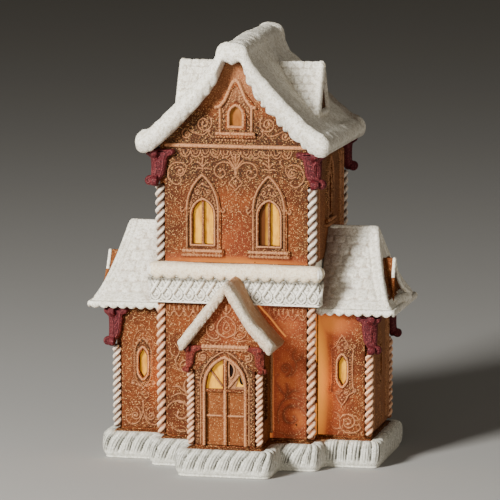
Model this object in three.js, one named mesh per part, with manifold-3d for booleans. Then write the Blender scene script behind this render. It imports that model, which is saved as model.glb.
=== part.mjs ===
// A gingerbread house ornament: a tall gabled tower on a lower block with a gabled porch, two side
// wings with hipped roofs, snow-white icing roofs, twisted rope columns and a piped icing base.
// Millimetres, +Z up, the front faces -Y. The origin is under the middle of the house.
import * as THREE from 'three';
import { mergeVertices } from 'three/addons/utils/BufferGeometryUtils.js';
import Module from 'manifold-3d';

// ---------------------------------------------------------------- driving dimensions
const GAP = 0.3;                       // clearance kept between pieces that touch
const FRONT_Y = -36;                   // front wall of the tower, in the house's own frame
const EMBED = 0.6;                     // how far fused trim reaches into its wall

const FLOOR_Z = 20;                    // top of the ground board, where every wall starts
const BLOCK = { half: 51.5, depth: 106, top: 110.7 };
const FRIEZE = { half: 57.5, lip: 5.5, wrap: 3.5, core: 51.2, bottom: 111, top: 127.4 };
const ROLL = { half: 60, lip: 8, wrap: 4.5, bottom: 127.7, top: 137.4, nose: 4, chamfer: 1.8 };
const TOWER = { half: 52, depth: 106, bottom: 137.7 };
const PORCH = { half: 23.3, reach: 33.5 };
const WING = { inner: BLOCK.half + GAP, outer: 87.2, front: 19, back: 90, top: 103.7 };

const TOWER_ROOF = {
  apex: 286.8, eave: 221, half: 66, thick: 15, taper: 0.45,
  front: -16, back: 110, prow: 8, edge: 4.5, swell: 5, swellWidth: 20,
};
const CROSS_DORMER = { apex: 269, foot: 232, half: 20, y: 50, inner: 8, face: 50, rim: 6 };
const PORCH_ROOF = {
  apex: 130.5, eave: 91.4, half: 32.6, thick: 8, taper: 0.2, x: 1.6,
  front: -42, back: 8, edge: 2.5, swell: 0, swellWidth: 10,
};
const WING_ROOF = {
  bottom: 104, eave: 106.3, apex: 158.4, eaveX: 105.5, ridgeX: 86, eaveReach: 9.5, ridgeHalf: 2.2,
};
const WING_DORMER = { apex: 136, foot: 112, half: 19, face: 98.5, deep: 15, shoulder: 12, rim: 1.9 };
const SCALLOP = { pitch: 6.5, drop: 1.8, thick: 2.2 };

const ROPE = { radius: 3, waist: 1.9, strandPitch: 6, stepsPerStrand: 3 };
const BRACKET = { thick: 4.6, curl: 3 };
const BASE = {
  height: 18.6, rib: 6.6, samplesPerRib: 3, ribDepth: 1.5, slant: 0.075, cornerRadius: 8,
  wingX: 94, wingFront: 11.5, wingBack: 98, blockX: 57, blockFront: -8.5, blockBack: 114.5,
  porchX: 31, porchFront: -40.8,
};
const BOARD = { bottom: 17.4, inset: 9.5 };

const PANE = { depth: 2.4, thick: 1.2, clearance: GAP, reachOut: 6 };
const HOOD = { band: 1.7, proud: 1.4, sillDrop: 4, sillOut: 2.2 };
const FRONT_LANCET = {
  light: { half: 7.2, bottom: 150, spring: 170, apex: 180 },
  hood: { half: 12.4, bottom: 146.5, spring: 174, apex: 198 },
};
const SIDE_LANCET = {
  light: { half: 6.6, bottom: 166.5, spring: 184, apex: 194 },
  hood: { half: 10.4, bottom: 163.4, spring: 187, apex: 207 },
};
const ATTIC = { half: 5.6, bottom: 228.7, spring: 237, apex: 244.8 };
const SLIT = { half: 2.9, bottom: 54.4, top: 74.9, point: 5 };
const DOORWAY = { half: 13.4, bottom: 20.6, spring: 60, apex: 79, band: 2.1, transom: 57.4 };

const LANCET_X = 22.6;
const SLIT_X = 68.8;

// ---------------------------------------------------------------- finishes
const finish = (color, roughness) => new THREE.MeshStandardMaterial({ color, roughness, metalness: 0 });
const FINISH = {
  gingerbread: () => finish(0xa85a2c, 0.75),
  icing: () => finish(0xf1f0ea, 0.8),
  burgundy: () => finish(0x7c2430, 0.6),
  pane: () => finish(0xf3c869, 0.4),
  door: () => finish(0xa9602f, 0.7),
};

// ---------------------------------------------------------------- solids and booleans
const kernel = await Module();
kernel.setup();

/** A closed geometry as a solid of the boolean kernel. */
function solid(geometry) {
  const bare = geometry.clone();
  bare.deleteAttribute('normal');
  bare.deleteAttribute('uv');
  const merged = mergeVertices(bare, 1e-4);
  return new kernel.Manifold(new kernel.Mesh({
    numProp: 3,
    vertProperties: new Float32Array(merged.attributes.position.array),
    triVerts: new Uint32Array(merged.index.array),
  }));
}

/** Joins a list of geometries onto a first one and then cuts a second list out of it. */
function carve(first, joined = [], cut = []) {
  let body = solid(first);
  for (const piece of joined) {
    body = body.add(solid(piece));
  }
  for (const piece of cut) {
    body = body.subtract(solid(piece));
  }
  const mesh = body.getMesh();
  const geometry = new THREE.BufferGeometry();
  geometry.setAttribute('position', new THREE.BufferAttribute(new Float32Array(mesh.vertProperties), 3));
  geometry.setIndex([...mesh.triVerts]);
  return geometry;
}

/** A solid through rings of equal counts of points, from low z to high z, with a flat cap at each end. */
function loft(givenRings) {
  const clockwise = THREE.ShapeUtils.isClockWise(givenRings[0]);
  const rings = clockwise ? givenRings.map((ring) => [...ring].reverse()) : givenRings;
  const count = rings[0].length;
  const positions = rings.flat().flatMap((p) => [p.x, p.y, p.z]);
  const index = [];
  for (let r = 0; r + 1 < rings.length; r += 1) {
    for (let i = 0; i < count; i += 1) {
      const a = r * count + i;
      const b = r * count + ((i + 1) % count);
      index.push(a, b, a + count, b, b + count, a + count);
    }
  }
  for (const r of [0, rings.length - 1]) {
    const flat = rings[r].map((p) => new THREE.Vector2(p.x, p.y));
    for (const [a, b, c] of THREE.ShapeUtils.triangulateShape(flat, [])) {
      const base = r * count;
      index.push(...(r === 0 ? [base + a, base + c, base + b] : [base + a, base + b, base + c]));
    }
  }
  const geometry = new THREE.BufferGeometry();
  geometry.setAttribute('position', new THREE.Float32BufferAttribute(positions, 3));
  geometry.setIndex(index);
  return geometry;
}

const box = (x0, x1, y0, y1, z0, z1) => new THREE.BoxGeometry(x1 - x0, y1 - y0, z1 - z0)
  .translate((x0 + x1) / 2, (y0 + y1) / 2, (z0 + z1) / 2);

const shapeOf = (points) => new THREE.Shape(points.map(([x, y]) => new THREE.Vector2(x, y)));

/** A slab of a shape drawn on a wall: u along the wall, v up, w out of it, from w0 to w1. */
function slab(shape, w0, w1) {
  return new THREE.ExtrudeGeometry(shape, { depth: w1 - w0, bevelEnabled: false }).translate(0, 0, w0);
}

/** A group whose x runs along a wall, y up and z out of it. Turn 0 is a front wall. */
function wallFrame(x, y, turn) {
  const frame = new THREE.Group();
  frame.rotation.order = 'ZYX';
  frame.rotation.set(Math.PI / 2, 0, turn);
  frame.position.set(x, y, 0);
  frame.updateMatrix();
  return frame;
}

/** The same geometry, moved from a wall's frame into the frame of the wall's parent. */
const onWall = (frame, geometry) => geometry.clone().applyMatrix4(frame.matrix);

/** A profile drawn in X and Z, extruded along Y from y0 to y1. */
function alongY(shape, y0, y1) {
  return new THREE.ExtrudeGeometry(shape, { depth: y1 - y0, bevelEnabled: false })
    .rotateX(Math.PI / 2).translate(0, y1, 0);
}

/** A profile drawn in Y and Z, extruded along X from x0 to x1. */
function alongX(shape, x0, x1) {
  const basis = new THREE.Matrix4().makeBasis(
    new THREE.Vector3(0, 1, 0),
    new THREE.Vector3(0, 0, 1),
    new THREE.Vector3(1, 0, 0),
  );
  return new THREE.ExtrudeGeometry(shape, { depth: x1 - x0, bevelEnabled: false })
    .applyMatrix4(basis).translate(x0, 0, 0);
}

/** A six-sided bar along a list of points. */
function bar(points, radius, steps) {
  const section = new THREE.Shape().absarc(0, 0, radius, 0, 2 * Math.PI, false);
  const ring = new THREE.Shape(section.getPoints(3).slice(0, -1));
  const path = new THREE.CatmullRomCurve3(points.map((p) => new THREE.Vector3(...p)), false, 'centripetal');
  return new THREE.ExtrudeGeometry(ring, { extrudePath: path, steps, bevelEnabled: false });
}

// ---------------------------------------------------------------- outlines
/** Points of a pointed arch of two circular arcs, from the right springing over the apex to the left. */
function archPoints(half, spring, apex, steps = 3) {
  const rise = apex - spring;
  const radius = (half * half + rise * rise) / (2 * half);
  const full = Math.asin(Math.min(1, rise / radius));
  const right = [];
  for (let i = 0; i <= steps; i += 1) {
    const angle = (full * i) / steps;
    right.push([half - radius + radius * Math.cos(angle), spring + radius * Math.sin(angle)]);
  }
  right[steps] = [0, apex];
  const left = right.slice(0, -1).reverse().map(([u, v]) => [-u, v]);
  return [...right, ...left];
}

/** A lancet outline grown outwards by grow, standing on its bottom line. */
function lancet({ half, bottom, spring, apex }, grow = 0, growBottom = grow) {
  return shapeOf([
    [-half - grow, bottom - growBottom],
    [half + grow, bottom - growBottom],
    ...archPoints(half + grow, spring, apex + grow * 1.4),
  ]);
}

/** An upright slit with a point at its top and bottom, grown outwards by grow. */
function slit({ half, bottom, top, point }, grow = 0) {
  return shapeOf([
    [0, bottom - grow * 1.4], [half + grow, bottom + point], [half + grow, top - point],
    [0, top + grow * 1.4], [-half - grow, top - point], [-half - grow, bottom + point],
  ]);
}

/** Moves a shape sideways on its wall. */
function shifted(shape, du) {
  return new THREE.Shape(shape.getPoints().map((p) => new THREE.Vector2(p.x + du, p.y)));
}

/** A band between an inner outline and an outer one. */
function band(outer, inner) {
  const shape = new THREE.Shape(outer.getPoints());
  shape.holes.push(new THREE.Path(inner.getPoints()));
  return shape;
}

/** The same half outline on the other side, in the order that closes it. */
const mirrored = (points) => points.map(([x, z]) => [-x, z]).reverse();

/** Vertical thickness of a blanket of icing, thinner towards its eave. */
const blanketThickness = (x, { half, thick, taper }) => (
  thick * (1 - taper * THREE.MathUtils.smoothstep(x, half * 0.82, half))
);

/** A gabled blanket of icing along Y; slope is the right half of its top line, ridge to eave. */
function blanket(slope, roof) {
  const { front, back, edge, half, swell, swellWidth } = roof;
  const ringAt = (y, slim) => {
    const crown = swell * Math.sin((0.58 * Math.PI * (y - front)) / (back - front));
    const lift = (x) => crown * Math.exp(-((x / swellWidth) ** 2));
    const top = slope.slice(1).map(([x, z]) => [x - slim * 0.4, z - slim + lift(x)]);
    const bottom = slope.slice(1).map(([x, z]) => [x - slim * 0.4, z - blanketThickness(x, roof) + slim]);
    const tip = [half + 1.6 - slim, (top.at(-1)[1] + bottom.at(-1)[1]) / 2];
    const right = [...top, tip, ...bottom.reverse()];
    const [, apex] = slope[0];
    const outline = [[0, apex - slim + crown], ...right, [0, apex - roof.thick + slim], ...mirrored(right)];
    return outline.map(([x, z]) => new THREE.Vector3(x, z, -y));
  };
  const middle = swell > 0 ? [0.7, 0.35] : [];
  return loft([
    ringAt(back, edge * 0.8), ringAt(back - edge * 0.3, edge * 0.3), ringAt(back - edge, 0),
    ...middle.map((share) => ringAt(front + (back - front) * share, 0)),
    ringAt(front + edge, 0), ringAt(front + edge * 0.3, edge * 0.3), ringAt(front, edge * 0.8),
  ]).rotateX(Math.PI / 2);
}

/** Horizontal share of a belled roof slope at the height share v, both counted from the eave. */
const bell = (v, power) => v ** power;

/** Outer line of the tower roof's right half: ridge to eave, steep and then flared. */
function towerSlope(steps = 8) {
  const { apex, eave, half } = TOWER_ROOF;
  const points = [];
  for (let i = 0; i <= steps; i += 1) {
    const v = 1 - i / steps;
    const crown = 6 * Math.exp(-9 * (1 - v));
    points.push([half * (1 - bell(v, 0.83)) + crown, eave + (apex - eave) * v - crown * 0.15]);
  }
  points[0] = [0, apex];
  points.splice(1, 0, [5.2, apex - 1.6]);
  return points;
}

// ---------------------------------------------------------------- house tree
const house = new THREE.Group();
const model = new THREE.Group();
model.position.y = FRONT_Y;
house.add(model);

/** Adds a named piece to a group. */
function piece(parent, name, geometry, material) {
  const mesh = new THREE.Mesh(geometry, material());
  mesh.name = name;
  parent.add(mesh);
  return mesh;
}

// ---------------------------------------------------------------- icing base and ground board
/** The stepped plan of the base: wings, lower block and porch, counter-clockwise, grown by grow. */
function basePlan(grow) {
  const { wingX, wingFront, wingBack, blockX, blockFront, blockBack, porchX, porchFront } = BASE;
  const right = [
    [porchX + grow, porchFront - grow], [porchX + grow, blockFront - grow],
    [blockX + grow, blockFront - grow], [blockX + grow, wingFront - grow],
    [wingX + grow, wingFront - grow], [wingX + grow, wingBack + grow],
    [blockX + grow, wingBack + grow], [blockX + grow, blockBack + grow],
  ];
  return [...right, ...mirrored(right)];
}

/** The plan with its corners rounded, as a closed path with lengths along it. */
function roundedPlan(grow, radius) {
  const corners = basePlan(grow).map(([x, y]) => new THREE.Vector2(x, y));
  const path = new THREE.CurvePath();
  const count = corners.length;
  const ends = corners.map((corner, i) => {
    const before = corners[(i + count - 1) % count].clone().sub(corner).normalize();
    const after = corners[(i + 1) % count].clone().sub(corner).normalize();
    return [corner.clone().addScaledVector(before, radius), corner.clone().addScaledVector(after, radius)];
  });
  corners.forEach((corner, i) => {
    path.add(new THREE.QuadraticBezierCurve(ends[i][0], corner, ends[i][1]));
    path.add(new THREE.LineCurve(ends[i][1], ends[(i + 1) % count][0]));
  });
  return path;
}

/** The piped base: slanted ribs round the plan, a lip at the foot and a rounded rim at the top. */
function icingBase() {
  const path = roundedPlan(0, BASE.cornerRadius);
  const length = path.getLength();
  const ribs = Math.round(length / BASE.rib);
  const count = ribs * BASE.samplesPerRib;
  const spine = Array.from({ length: count }, (_, i) => {
    const point = path.getPointAt(i / count);
    const ahead = path.getPointAt(((i + 0.5) % count) / count);
    const behind = path.getPointAt(((i + count - 0.5) % count) / count);
    const along = ahead.sub(behind).normalize();
    return { point, normal: new THREE.Vector2(along.y, -along.x), share: i / count };
  });
  const levels = [
    [0, -0.2, 0], [2.4, 1.4, 0.3], [11, 2.2, 1], [BASE.height, -1.6, 0.8], [17, -4.8, 0],
  ];
  const rings = levels.map(([z, grow, depth]) => spine.map(({ point, normal, share }) => {
    const phase = share * ribs + z * BASE.slant;
    const out = grow + BASE.ribDepth * depth * (Math.abs(Math.cos(Math.PI * phase)) - 0.6);
    return new THREE.Vector3(point.x + normal.x * out, point.y + normal.y * out, z);
  }));
  return loft(rings);
}

piece(model, 'icing_base', icingBase(), FINISH.icing);

/** The brown board that shows between the walls and the icing. */
function groundBoard() {
  const plan = new THREE.Shape(roundedPlan(-BOARD.inset + 1.5, 5).getPoints(2).slice(0, -1));
  return new THREE.ExtrudeGeometry(plan, { depth: FLOOR_Z - BOARD.bottom, bevelEnabled: false })
    .translate(0, 0, BOARD.bottom);
}

piece(model, 'ground_board', groundBoard(), FINISH.gingerbread);

// ---------------------------------------------------------------- windows
/** What a window adds to its wall, cuts out of it, and the pane that sits in it. */
function windowOn(frame, du, outline, frames) {
  const opening = shifted(outline(0), du);
  const inner = shifted(outline(-PANE.clearance), du);
  return {
    frame,
    joined: frames.map((geometry) => onWall(frame, geometry.translate(du, 0, 0))),
    cut: [onWall(frame, slab(opening, -PANE.depth - PANE.thick - GAP, PANE.reachOut))],
    pane: slab(inner, -PANE.depth - PANE.thick, -PANE.depth),
  };
}

/** A paired-light lancet with a hooded surround and a sill. */
function lancetWindow(frame, du, { light, hood } = FRONT_LANCET) {
  const surround = band(lancet(hood, 0, 0), lancet(hood, -HOOD.band, -0.5));
  const sillHalf = hood.half + HOOD.sillOut;
  const sill = box(-sillHalf, sillHalf, hood.bottom - HOOD.sillDrop, hood.bottom + 0.6, -EMBED, 2.6);
  const lining = band(lancet(light, 1.3, 1.3), lancet(light, 0));
  return windowOn(frame, du, (grow) => lancet(light, grow), [
    slab(surround, -EMBED, HOOD.proud),
    slab(lining, -EMBED, 1.0),
    sill,
  ]);
}

/** The small attic window with a gabled hood. */
function atticWindow(frame) {
  const roofBand = shapeOf([[-14, 242.4], [-11, 243.4], [0, 257.4], [11, 243.4], [14, 242.4], [0, 260.8]]);
  const side = (u) => box(u - 0.8, u + 0.8, 225, 244.5, -EMBED, 1.2);
  const sill = box(-13, 13, 222, 226, -EMBED, 2.2);
  const lining = band(lancet(ATTIC, 1.3, 1.3), lancet(ATTIC, 0));
  return windowOn(frame, 0, (grow) => lancet(ATTIC, grow), [
    slab(roofBand, -EMBED, 1.6), side(-10.8), side(10.8), sill, slab(lining, -EMBED, 1.0),
  ]);
}

/** The pointed slit window of a wing, with a raised lining. */
function slitWindow(frame, du) {
  const lining = band(slit(SLIT, 1.8), slit(SLIT, 0));
  return windowOn(frame, du, (grow) => slit(SLIT, grow), [slab(lining, -EMBED, 1.3)]);
}

/** A plain lancet of the given size, for the hidden sides of the porch and the lower block. */
function sideWindow(frame, du, size) {
  const lining = band(lancet(size, 1.2, 1.2), lancet(size, 0));
  return windowOn(frame, du, (grow) => lancet(size, grow), [slab(lining, -EMBED, 1.0)]);
}

/** Carves a wall block with all of its windows, extra trim and extra cuts. */
function wallBlock(body, windows, trim = [], cuts = []) {
  const joined = [...trim, ...windows.flatMap((w) => w.joined)];
  return carve(body, joined, [...windows.flatMap((w) => w.cut), ...cuts]);
}

/** Hangs a window's pane in its wall frame. */
function hangPane(parent, name, window) {
  parent.add(window.frame);
  piece(window.frame, name, window.pane, FINISH.pane);
}

/** A rectangular plan whose listed corners are notched for a rope column. */
function notchedPlan(x0, x1, y0, y1, corners) {
  const n = ROPE.radius + GAP;
  const corner = (x, y, inX, inY, name) => (corners.includes(name)
    ? [[x + inX * (inX * inY > 0 ? 0 : n), y + inY * (inX * inY > 0 ? n : 0)],
      [x + inX * n, y + inY * n],
      [x + inX * (inX * inY > 0 ? n : 0), y + inY * (inX * inY > 0 ? 0 : n)]]
    : [[x, y]]);
  return shapeOf([
    ...corner(x0, y0, 1, 1, 'front_low'),
    ...corner(x1, y0, -1, 1, 'front_high'),
    ...corner(x1, y1, -1, -1, 'back_high'),
    ...corner(x0, y1, 1, -1, 'back_low'),
  ]);
}

// ---------------------------------------------------------------- lower block
const blockSideWindow = { half: 3, bottom: 44, spring: 66, apex: 71 };
const BLOCK_SIDE_Y = 10.5;

const blockRight = wallFrame(BLOCK.half, 0, Math.PI / 2);
const blockLeft = wallFrame(-BLOCK.half, 0, -Math.PI / 2);
const blockPanes = {
  block_pane_right: sideWindow(blockRight, BLOCK_SIDE_Y, blockSideWindow),
  block_pane_left: sideWindow(blockLeft, -BLOCK_SIDE_Y, blockSideWindow),
};
const blockBody = new THREE.ExtrudeGeometry(
  notchedPlan(-BLOCK.half, BLOCK.half, 0, BLOCK.depth, ['front_low', 'front_high']),
  { depth: BLOCK.top - FLOOR_Z - GAP, bevelEnabled: false },
).translate(0, 0, FLOOR_Z + GAP);
piece(model, 'lower_block', wallBlock(blockBody, Object.values(blockPanes)), FINISH.gingerbread);
for (const [name, window] of Object.entries(blockPanes)) {
  hangPane(model, name, window);
}

// ---------------------------------------------------------------- frieze and roll
/** The frieze: a band across the front and one across the back, joined by the slab between floors. */
function latticeFrieze() {
  const { half, lip, wrap, core, bottom, top } = FRIEZE;
  const front = box(-half, half, -lip, wrap, bottom, top);
  const back = box(-half, half, BLOCK.depth - wrap, BLOCK.depth + lip, bottom, top);
  return carve(box(-core, core, 0, BLOCK.depth, bottom, top), [front, back]);
}

piece(model, 'lattice_frieze', latticeFrieze(), FINISH.icing);

/** One fat roll along X between y0 and y1, half round on all four sides. */
function rollBar(y0, y1) {
  const middle = (ROLL.bottom + ROLL.top) / 2;
  const rise = (ROLL.top - ROLL.bottom) / 2;
  const rings = [];
  for (let i = 0; i <= 6; i += 1) {
    const angle = -Math.PI / 2 + (Math.PI * i) / 6;
    const out = ROLL.nose * (Math.cos(angle) - 1);
    const [x, low, high] = [ROLL.half + out, y0 - out, y1 + out];
    const c = ROLL.chamfer;
    const right = [[x - c, low], [x, low + c], [x, high - c], [x - c, high]];
    rings.push([...right, ...mirrored(right)].map(([px, py]) => (
      new THREE.Vector3(px, py, middle + rise * Math.sin(angle))
    )));
  }
  return loft(rings);
}

/** The fat rolls above the frieze, joined by the slab that carries the tower. */
function icingRoll() {
  const { lip, wrap, bottom, top } = ROLL;
  const core = box(-FRIEZE.core, FRIEZE.core, 0, BLOCK.depth, bottom, top);
  return carve(core, [rollBar(-lip, wrap), rollBar(BLOCK.depth - wrap, BLOCK.depth + lip)]);
}

piece(model, 'icing_roll', icingRoll(), FINISH.icing);

// ---------------------------------------------------------------- tower
const slope = towerSlope();
const underside = slope.map(([x, z]) => [x, z - blanketThickness(x, TOWER_ROOF)]);

/** Height of the tower roof's underside over a distance from the ridge. */
function undersideAt(x) {
  const i = Math.max(1, underside.findIndex(([px]) => px >= x));
  const [[xa, za], [xb, zb]] = [underside[i - 1], underside[i]];
  return za + ((zb - za) * (x - xa)) / (xb - xa);
}

/** The tower's walls with their gables, up to just under the roof. */
function towerBody() {
  const inside = underside.filter(([x]) => x < TOWER.half - 1).map(([x, z]) => [x, z - GAP]);
  const shoulder = undersideAt(TOWER.half) - GAP;
  const right = [[TOWER.half, TOWER.bottom], [TOWER.half, shoulder], ...inside.slice(1).reverse()];
  const outline = shapeOf([...right, [0, inside[0][1]], ...mirrored(right)]);
  return alongY(outline, 0, TOWER.depth);
}

const towerFront = wallFrame(0, 0, 0);
const towerBack = wallFrame(0, TOWER.depth, Math.PI);
const towerRight = wallFrame(TOWER.half, TOWER.depth / 2, Math.PI / 2);
const towerLeft = wallFrame(-TOWER.half, TOWER.depth / 2, -Math.PI / 2);
const towerPanes = {
  tower_pane_front_left: lancetWindow(towerFront, -LANCET_X),
  tower_pane_front_right: lancetWindow(towerFront, LANCET_X),
  tower_pane_attic: atticWindow(towerFront),
  tower_pane_back_left: lancetWindow(towerBack, LANCET_X),
  tower_pane_back_right: lancetWindow(towerBack, -LANCET_X),
  tower_pane_side_left: lancetWindow(towerLeft, 0, SIDE_LANCET),
  tower_pane_side_right: lancetWindow(towerRight, 0, SIDE_LANCET),
};
const mullion = (frame, du, { light } = FRONT_LANCET) => onWall(
  frame,
  box(du - 0.7, du + 0.7, light.bottom - 1, light.apex + 1, -PANE.depth + GAP, 0.4),
);
const moulding = (frame) => onWall(frame, box(-48, 48, 215.2, 217.4, -EMBED, 1.8));
const cornerNotch = (x, y) => box(
  x - ROPE.radius - GAP, x + ROPE.radius + GAP, y - ROPE.radius - GAP, y + ROPE.radius + GAP, 130, 190.6,
);
const towerCorners = [[-TOWER.half, 0], [TOWER.half, 0], [TOWER.half, TOWER.depth], [-TOWER.half, TOWER.depth]];
const tower = carve(
  wallBlock(towerBody(), Object.values(towerPanes), [moulding(towerFront), moulding(towerBack)]),
  [
    mullion(towerFront, -LANCET_X), mullion(towerFront, LANCET_X), mullion(towerBack, -LANCET_X),
    mullion(towerBack, LANCET_X), mullion(towerLeft, 0, SIDE_LANCET), mullion(towerRight, 0, SIDE_LANCET),
  ],
  towerCorners.map(([x, y]) => cornerNotch(x, y)),
);
piece(model, 'tower_walls', tower, FINISH.gingerbread);
for (const [name, window] of Object.entries(towerPanes)) {
  hangPane(model, name, window);
}

// ---------------------------------------------------------------- tower roof
/** The snow-covered tower roof with a cross dormer on each side, hollowed for the two gable faces. */
function towerRoof() {
  const { front, back, prow, half } = TOWER_ROOF;
  const main = blanket(slope, TOWER_ROOF);
  const position = main.attributes.position;
  for (let i = 0; i < position.count; i += 1) {
    if (position.getY(i) > back / 2) {
      position.setY(i, position.getY(i) + (prow * Math.abs(position.getX(i))) / half);
    }
  }
  const c = CROSS_DORMER;
  const dormer = shapeOf([
    [c.y - c.half, c.foot], [c.y + c.half, c.foot], [c.y + c.half - 2, c.foot + 5], [c.y + 2.6, c.apex - 1.8],
    [c.y, c.apex], [c.y - 2.6, c.apex - 1.8], [c.y - c.half + 2, c.foot + 5],
  ]);
  const hollow = gablePlugOutline(GAP);
  const clear = [-1, 1].map((side) => crossDormerClearance(side));
  return carve(
    main,
    [alongX(dormer, c.inner, c.face), alongX(dormer, -c.face, -c.inner)],
    [alongX(hollow, c.face - c.rim, c.face + 5), alongX(hollow, -c.face - 5, c.rim - c.face), ...clear],
  );
}

/** The part of the tower that the cross dormers' feet must stay clear of. */
function crossDormerClearance(side) {
  const inside = underside.filter(([x]) => x < TOWER.half - 1);
  const reach = undersideAt(TOWER.half);
  const low = TOWER.bottom + 40;
  const wall = TOWER.half + GAP;
  const half = [[0, low], [wall, low], [wall, reach], ...inside.slice(1).reverse(), [0, inside[0][1]]];
  const outline = side > 0 ? half : mirrored(half);
  return alongY(shapeOf(outline), -30, TOWER.depth + 40);
}

/** Outline of the brown gable face of a cross dormer, in Y and Z. */
function gablePlugOutline(grow) {
  const c = CROSS_DORMER;
  return shapeOf([
    [c.y - 10.5 - grow, c.foot + 5.4 - grow], [c.y + 10.5 + grow, c.foot + 5.4 - grow],
    [c.y, c.apex - 10 + grow * 2],
  ]);
}

piece(model, 'tower_roof', towerRoof(), FINISH.icing);
for (const side of [-1, 1]) {
  const c = CROSS_DORMER;
  const x0 = side > 0 ? c.face - c.rim + GAP : -c.face + 1.6;
  piece(
    model,
    side > 0 ? 'cross_gable_right' : 'cross_gable_left',
    alongX(gablePlugOutline(0), x0, x0 + c.rim - 1.6 - GAP),
    FINISH.gingerbread,
  );
}

// ---------------------------------------------------------------- wings
const WING_MID = (WING.front + WING.back) / 2;

/** A ring of the hipped wing roof at the height share v, as a rectangle against the house. */
function wingRoofRing(v, z) {
  const r = WING_ROOF;
  const x = r.eaveX + (r.ridgeX - r.eaveX) * bell(v, 0.62);
  const eaveHalf = (WING.back - WING.front) / 2 + r.eaveReach;
  const y = eaveHalf + (r.ridgeHalf - eaveHalf) * bell(v, 0.83);
  const inner = TOWER.half + GAP;
  return [[inner, -y], [x, -y], [x, y], [inner, y]].map(([px, py]) => new THREE.Vector3(px, py, z));
}

/** A scalloped drip hung under an eave, drawn from -length / 2 to length / 2. */
function scallops(length) {
  const count = Math.round(length / SCALLOP.pitch);
  const pitch = length / count;
  const points = [[-length / 2, 2.4]];
  for (let i = 0; i < count; i += 1) {
    const start = -length / 2 + i * pitch;
    points.push([start, 0], [start + pitch * 0.3, -SCALLOP.drop], [start + pitch * 0.7, -SCALLOP.drop]);
  }
  points.push([length / 2, 0], [length / 2, 2.4]);
  return slab(shapeOf(points), -SCALLOP.thick, 0);
}

/** The gable outline of the little end dormer, in Y and Z. */
function wingDormerOutline(grow) {
  const d = WING_DORMER;
  return shapeOf([
    [-d.half - grow, d.foot - grow], [d.half + grow, d.foot - grow], [d.half * 0.4 + grow, d.foot + d.shoulder],
    [0, d.apex + grow], [-d.half * 0.4 - grow, d.foot + d.shoulder],
  ]);
}

/** The wing's belled, hipped icing roof with its drips, rims, dormer trim and sill. */
function wingRoof() {
  const r = WING_ROOF;
  const d = WING_DORMER;
  const rings = [wingRoofRing(0, r.bottom)];
  for (const v of [0, 0.12, 0.3, 0.5, 0.72, 0.93, 1]) {
    const top = v === 1 ? 0.985 : v;
    rings.push(wingRoofRing(top, r.eave + (r.apex - r.eave) * v));
  }
  const body = loft(rings);
  const eaveHalf = (WING.back - WING.front) / 2 + r.eaveReach;
  const frontLength = r.eaveX - TOWER.half - 1;
  const middleX = r.eaveX - frontLength / 2;
  const drips = [
    onWall(wallFrame(middleX, -eaveHalf, 0), scallops(frontLength).translate(0, r.bottom, 0)),
    onWall(wallFrame(middleX, eaveHalf, Math.PI), scallops(frontLength).translate(0, r.bottom, 0)),
    onWall(wallFrame(r.eaveX, 0, Math.PI / 2), scallops(2 * eaveHalf).translate(0, r.bottom, 0)),
  ];
  const rims = [-1, 1].map((side) => bar([
    [d.face + 0.6, side * -0.6, d.apex + 1], [d.face + 0.8, side * (d.half * 0.4 + 1), d.foot + d.shoulder],
    [d.face + 1.4, side * (d.half + 1), d.foot - 1],
  ], d.rim, 4));
  const ridgeCap = bar([[85, 0, d.apex + 0.8], [d.face + 0.4, 0, d.apex + 0.8]], d.rim * 0.8, 1);
  const hipRims = [-1, 1].map((side) => bar([0.02, 0.25, 0.55, 0.99].map((v) => {
    const [, corner] = wingRoofRing(v, r.eave + (r.apex - r.eave) * v);
    return [corner.x - 1.2, side * (corner.y + 1.5), corner.z - 0.8];
  }), 3.2, 5));
  const sill = box(d.face - 9, d.face + 3, -d.half - 2, d.half + 2, d.foot - 4, d.foot - 0.3);
  const dormerRoom = alongX(wingDormerOutline(GAP), d.face - d.deep - GAP, d.face + 0.4);
  return carve(body, [...drips, ...rims, ...hipRims, ridgeCap, sill], [dormerRoom]);
}

/** The brown dormer that stands out of a wing's end slope. */
function wingDormer() {
  const d = WING_DORMER;
  return alongX(wingDormerOutline(0), d.face - d.deep, d.face);
}

/** One wing, built for the right side about its own middle. */
function wing(name, turn) {
  const group = new THREE.Group();
  group.position.set(0, WING_MID, 0);
  group.rotation.z = turn;
  model.add(group);
  const [y0, y1] = [WING.front - WING_MID, WING.back - WING_MID];
  const front = wallFrame(0, y0, 0);
  const back = wallFrame(0, y1, Math.PI);
  const side = wallFrame(WING.outer, 0, Math.PI / 2);
  const [near, far] = turn === 0 ? ['front', 'back'] : ['back', 'front'];
  const windows = {
    [`${name}_pane_${near}`]: slitWindow(front, SLIT_X),
    [`${name}_pane_${far}`]: slitWindow(back, -SLIT_X),
    [`${name}_pane_side`]: slitWindow(side, 0),
  };
  const body = new THREE.ExtrudeGeometry(
    notchedPlan(WING.inner, WING.outer, y0, y1, ['front_high', 'back_high']),
    { depth: WING.top - FLOOR_Z - GAP, bevelEnabled: false },
  ).translate(0, 0, FLOOR_Z + GAP);
  piece(group, `${name}_walls`, wallBlock(body, Object.values(windows)), FINISH.gingerbread);
  for (const [paneName, window] of Object.entries(windows)) {
    hangPane(group, paneName, window);
  }
  piece(group, `${name}_roof`, wingRoof(), FINISH.icing);
  piece(group, `${name}_dormer`, wingDormer(), FINISH.gingerbread);
}

wing('right_wing', 0);
wing('left_wing', Math.PI);

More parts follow.
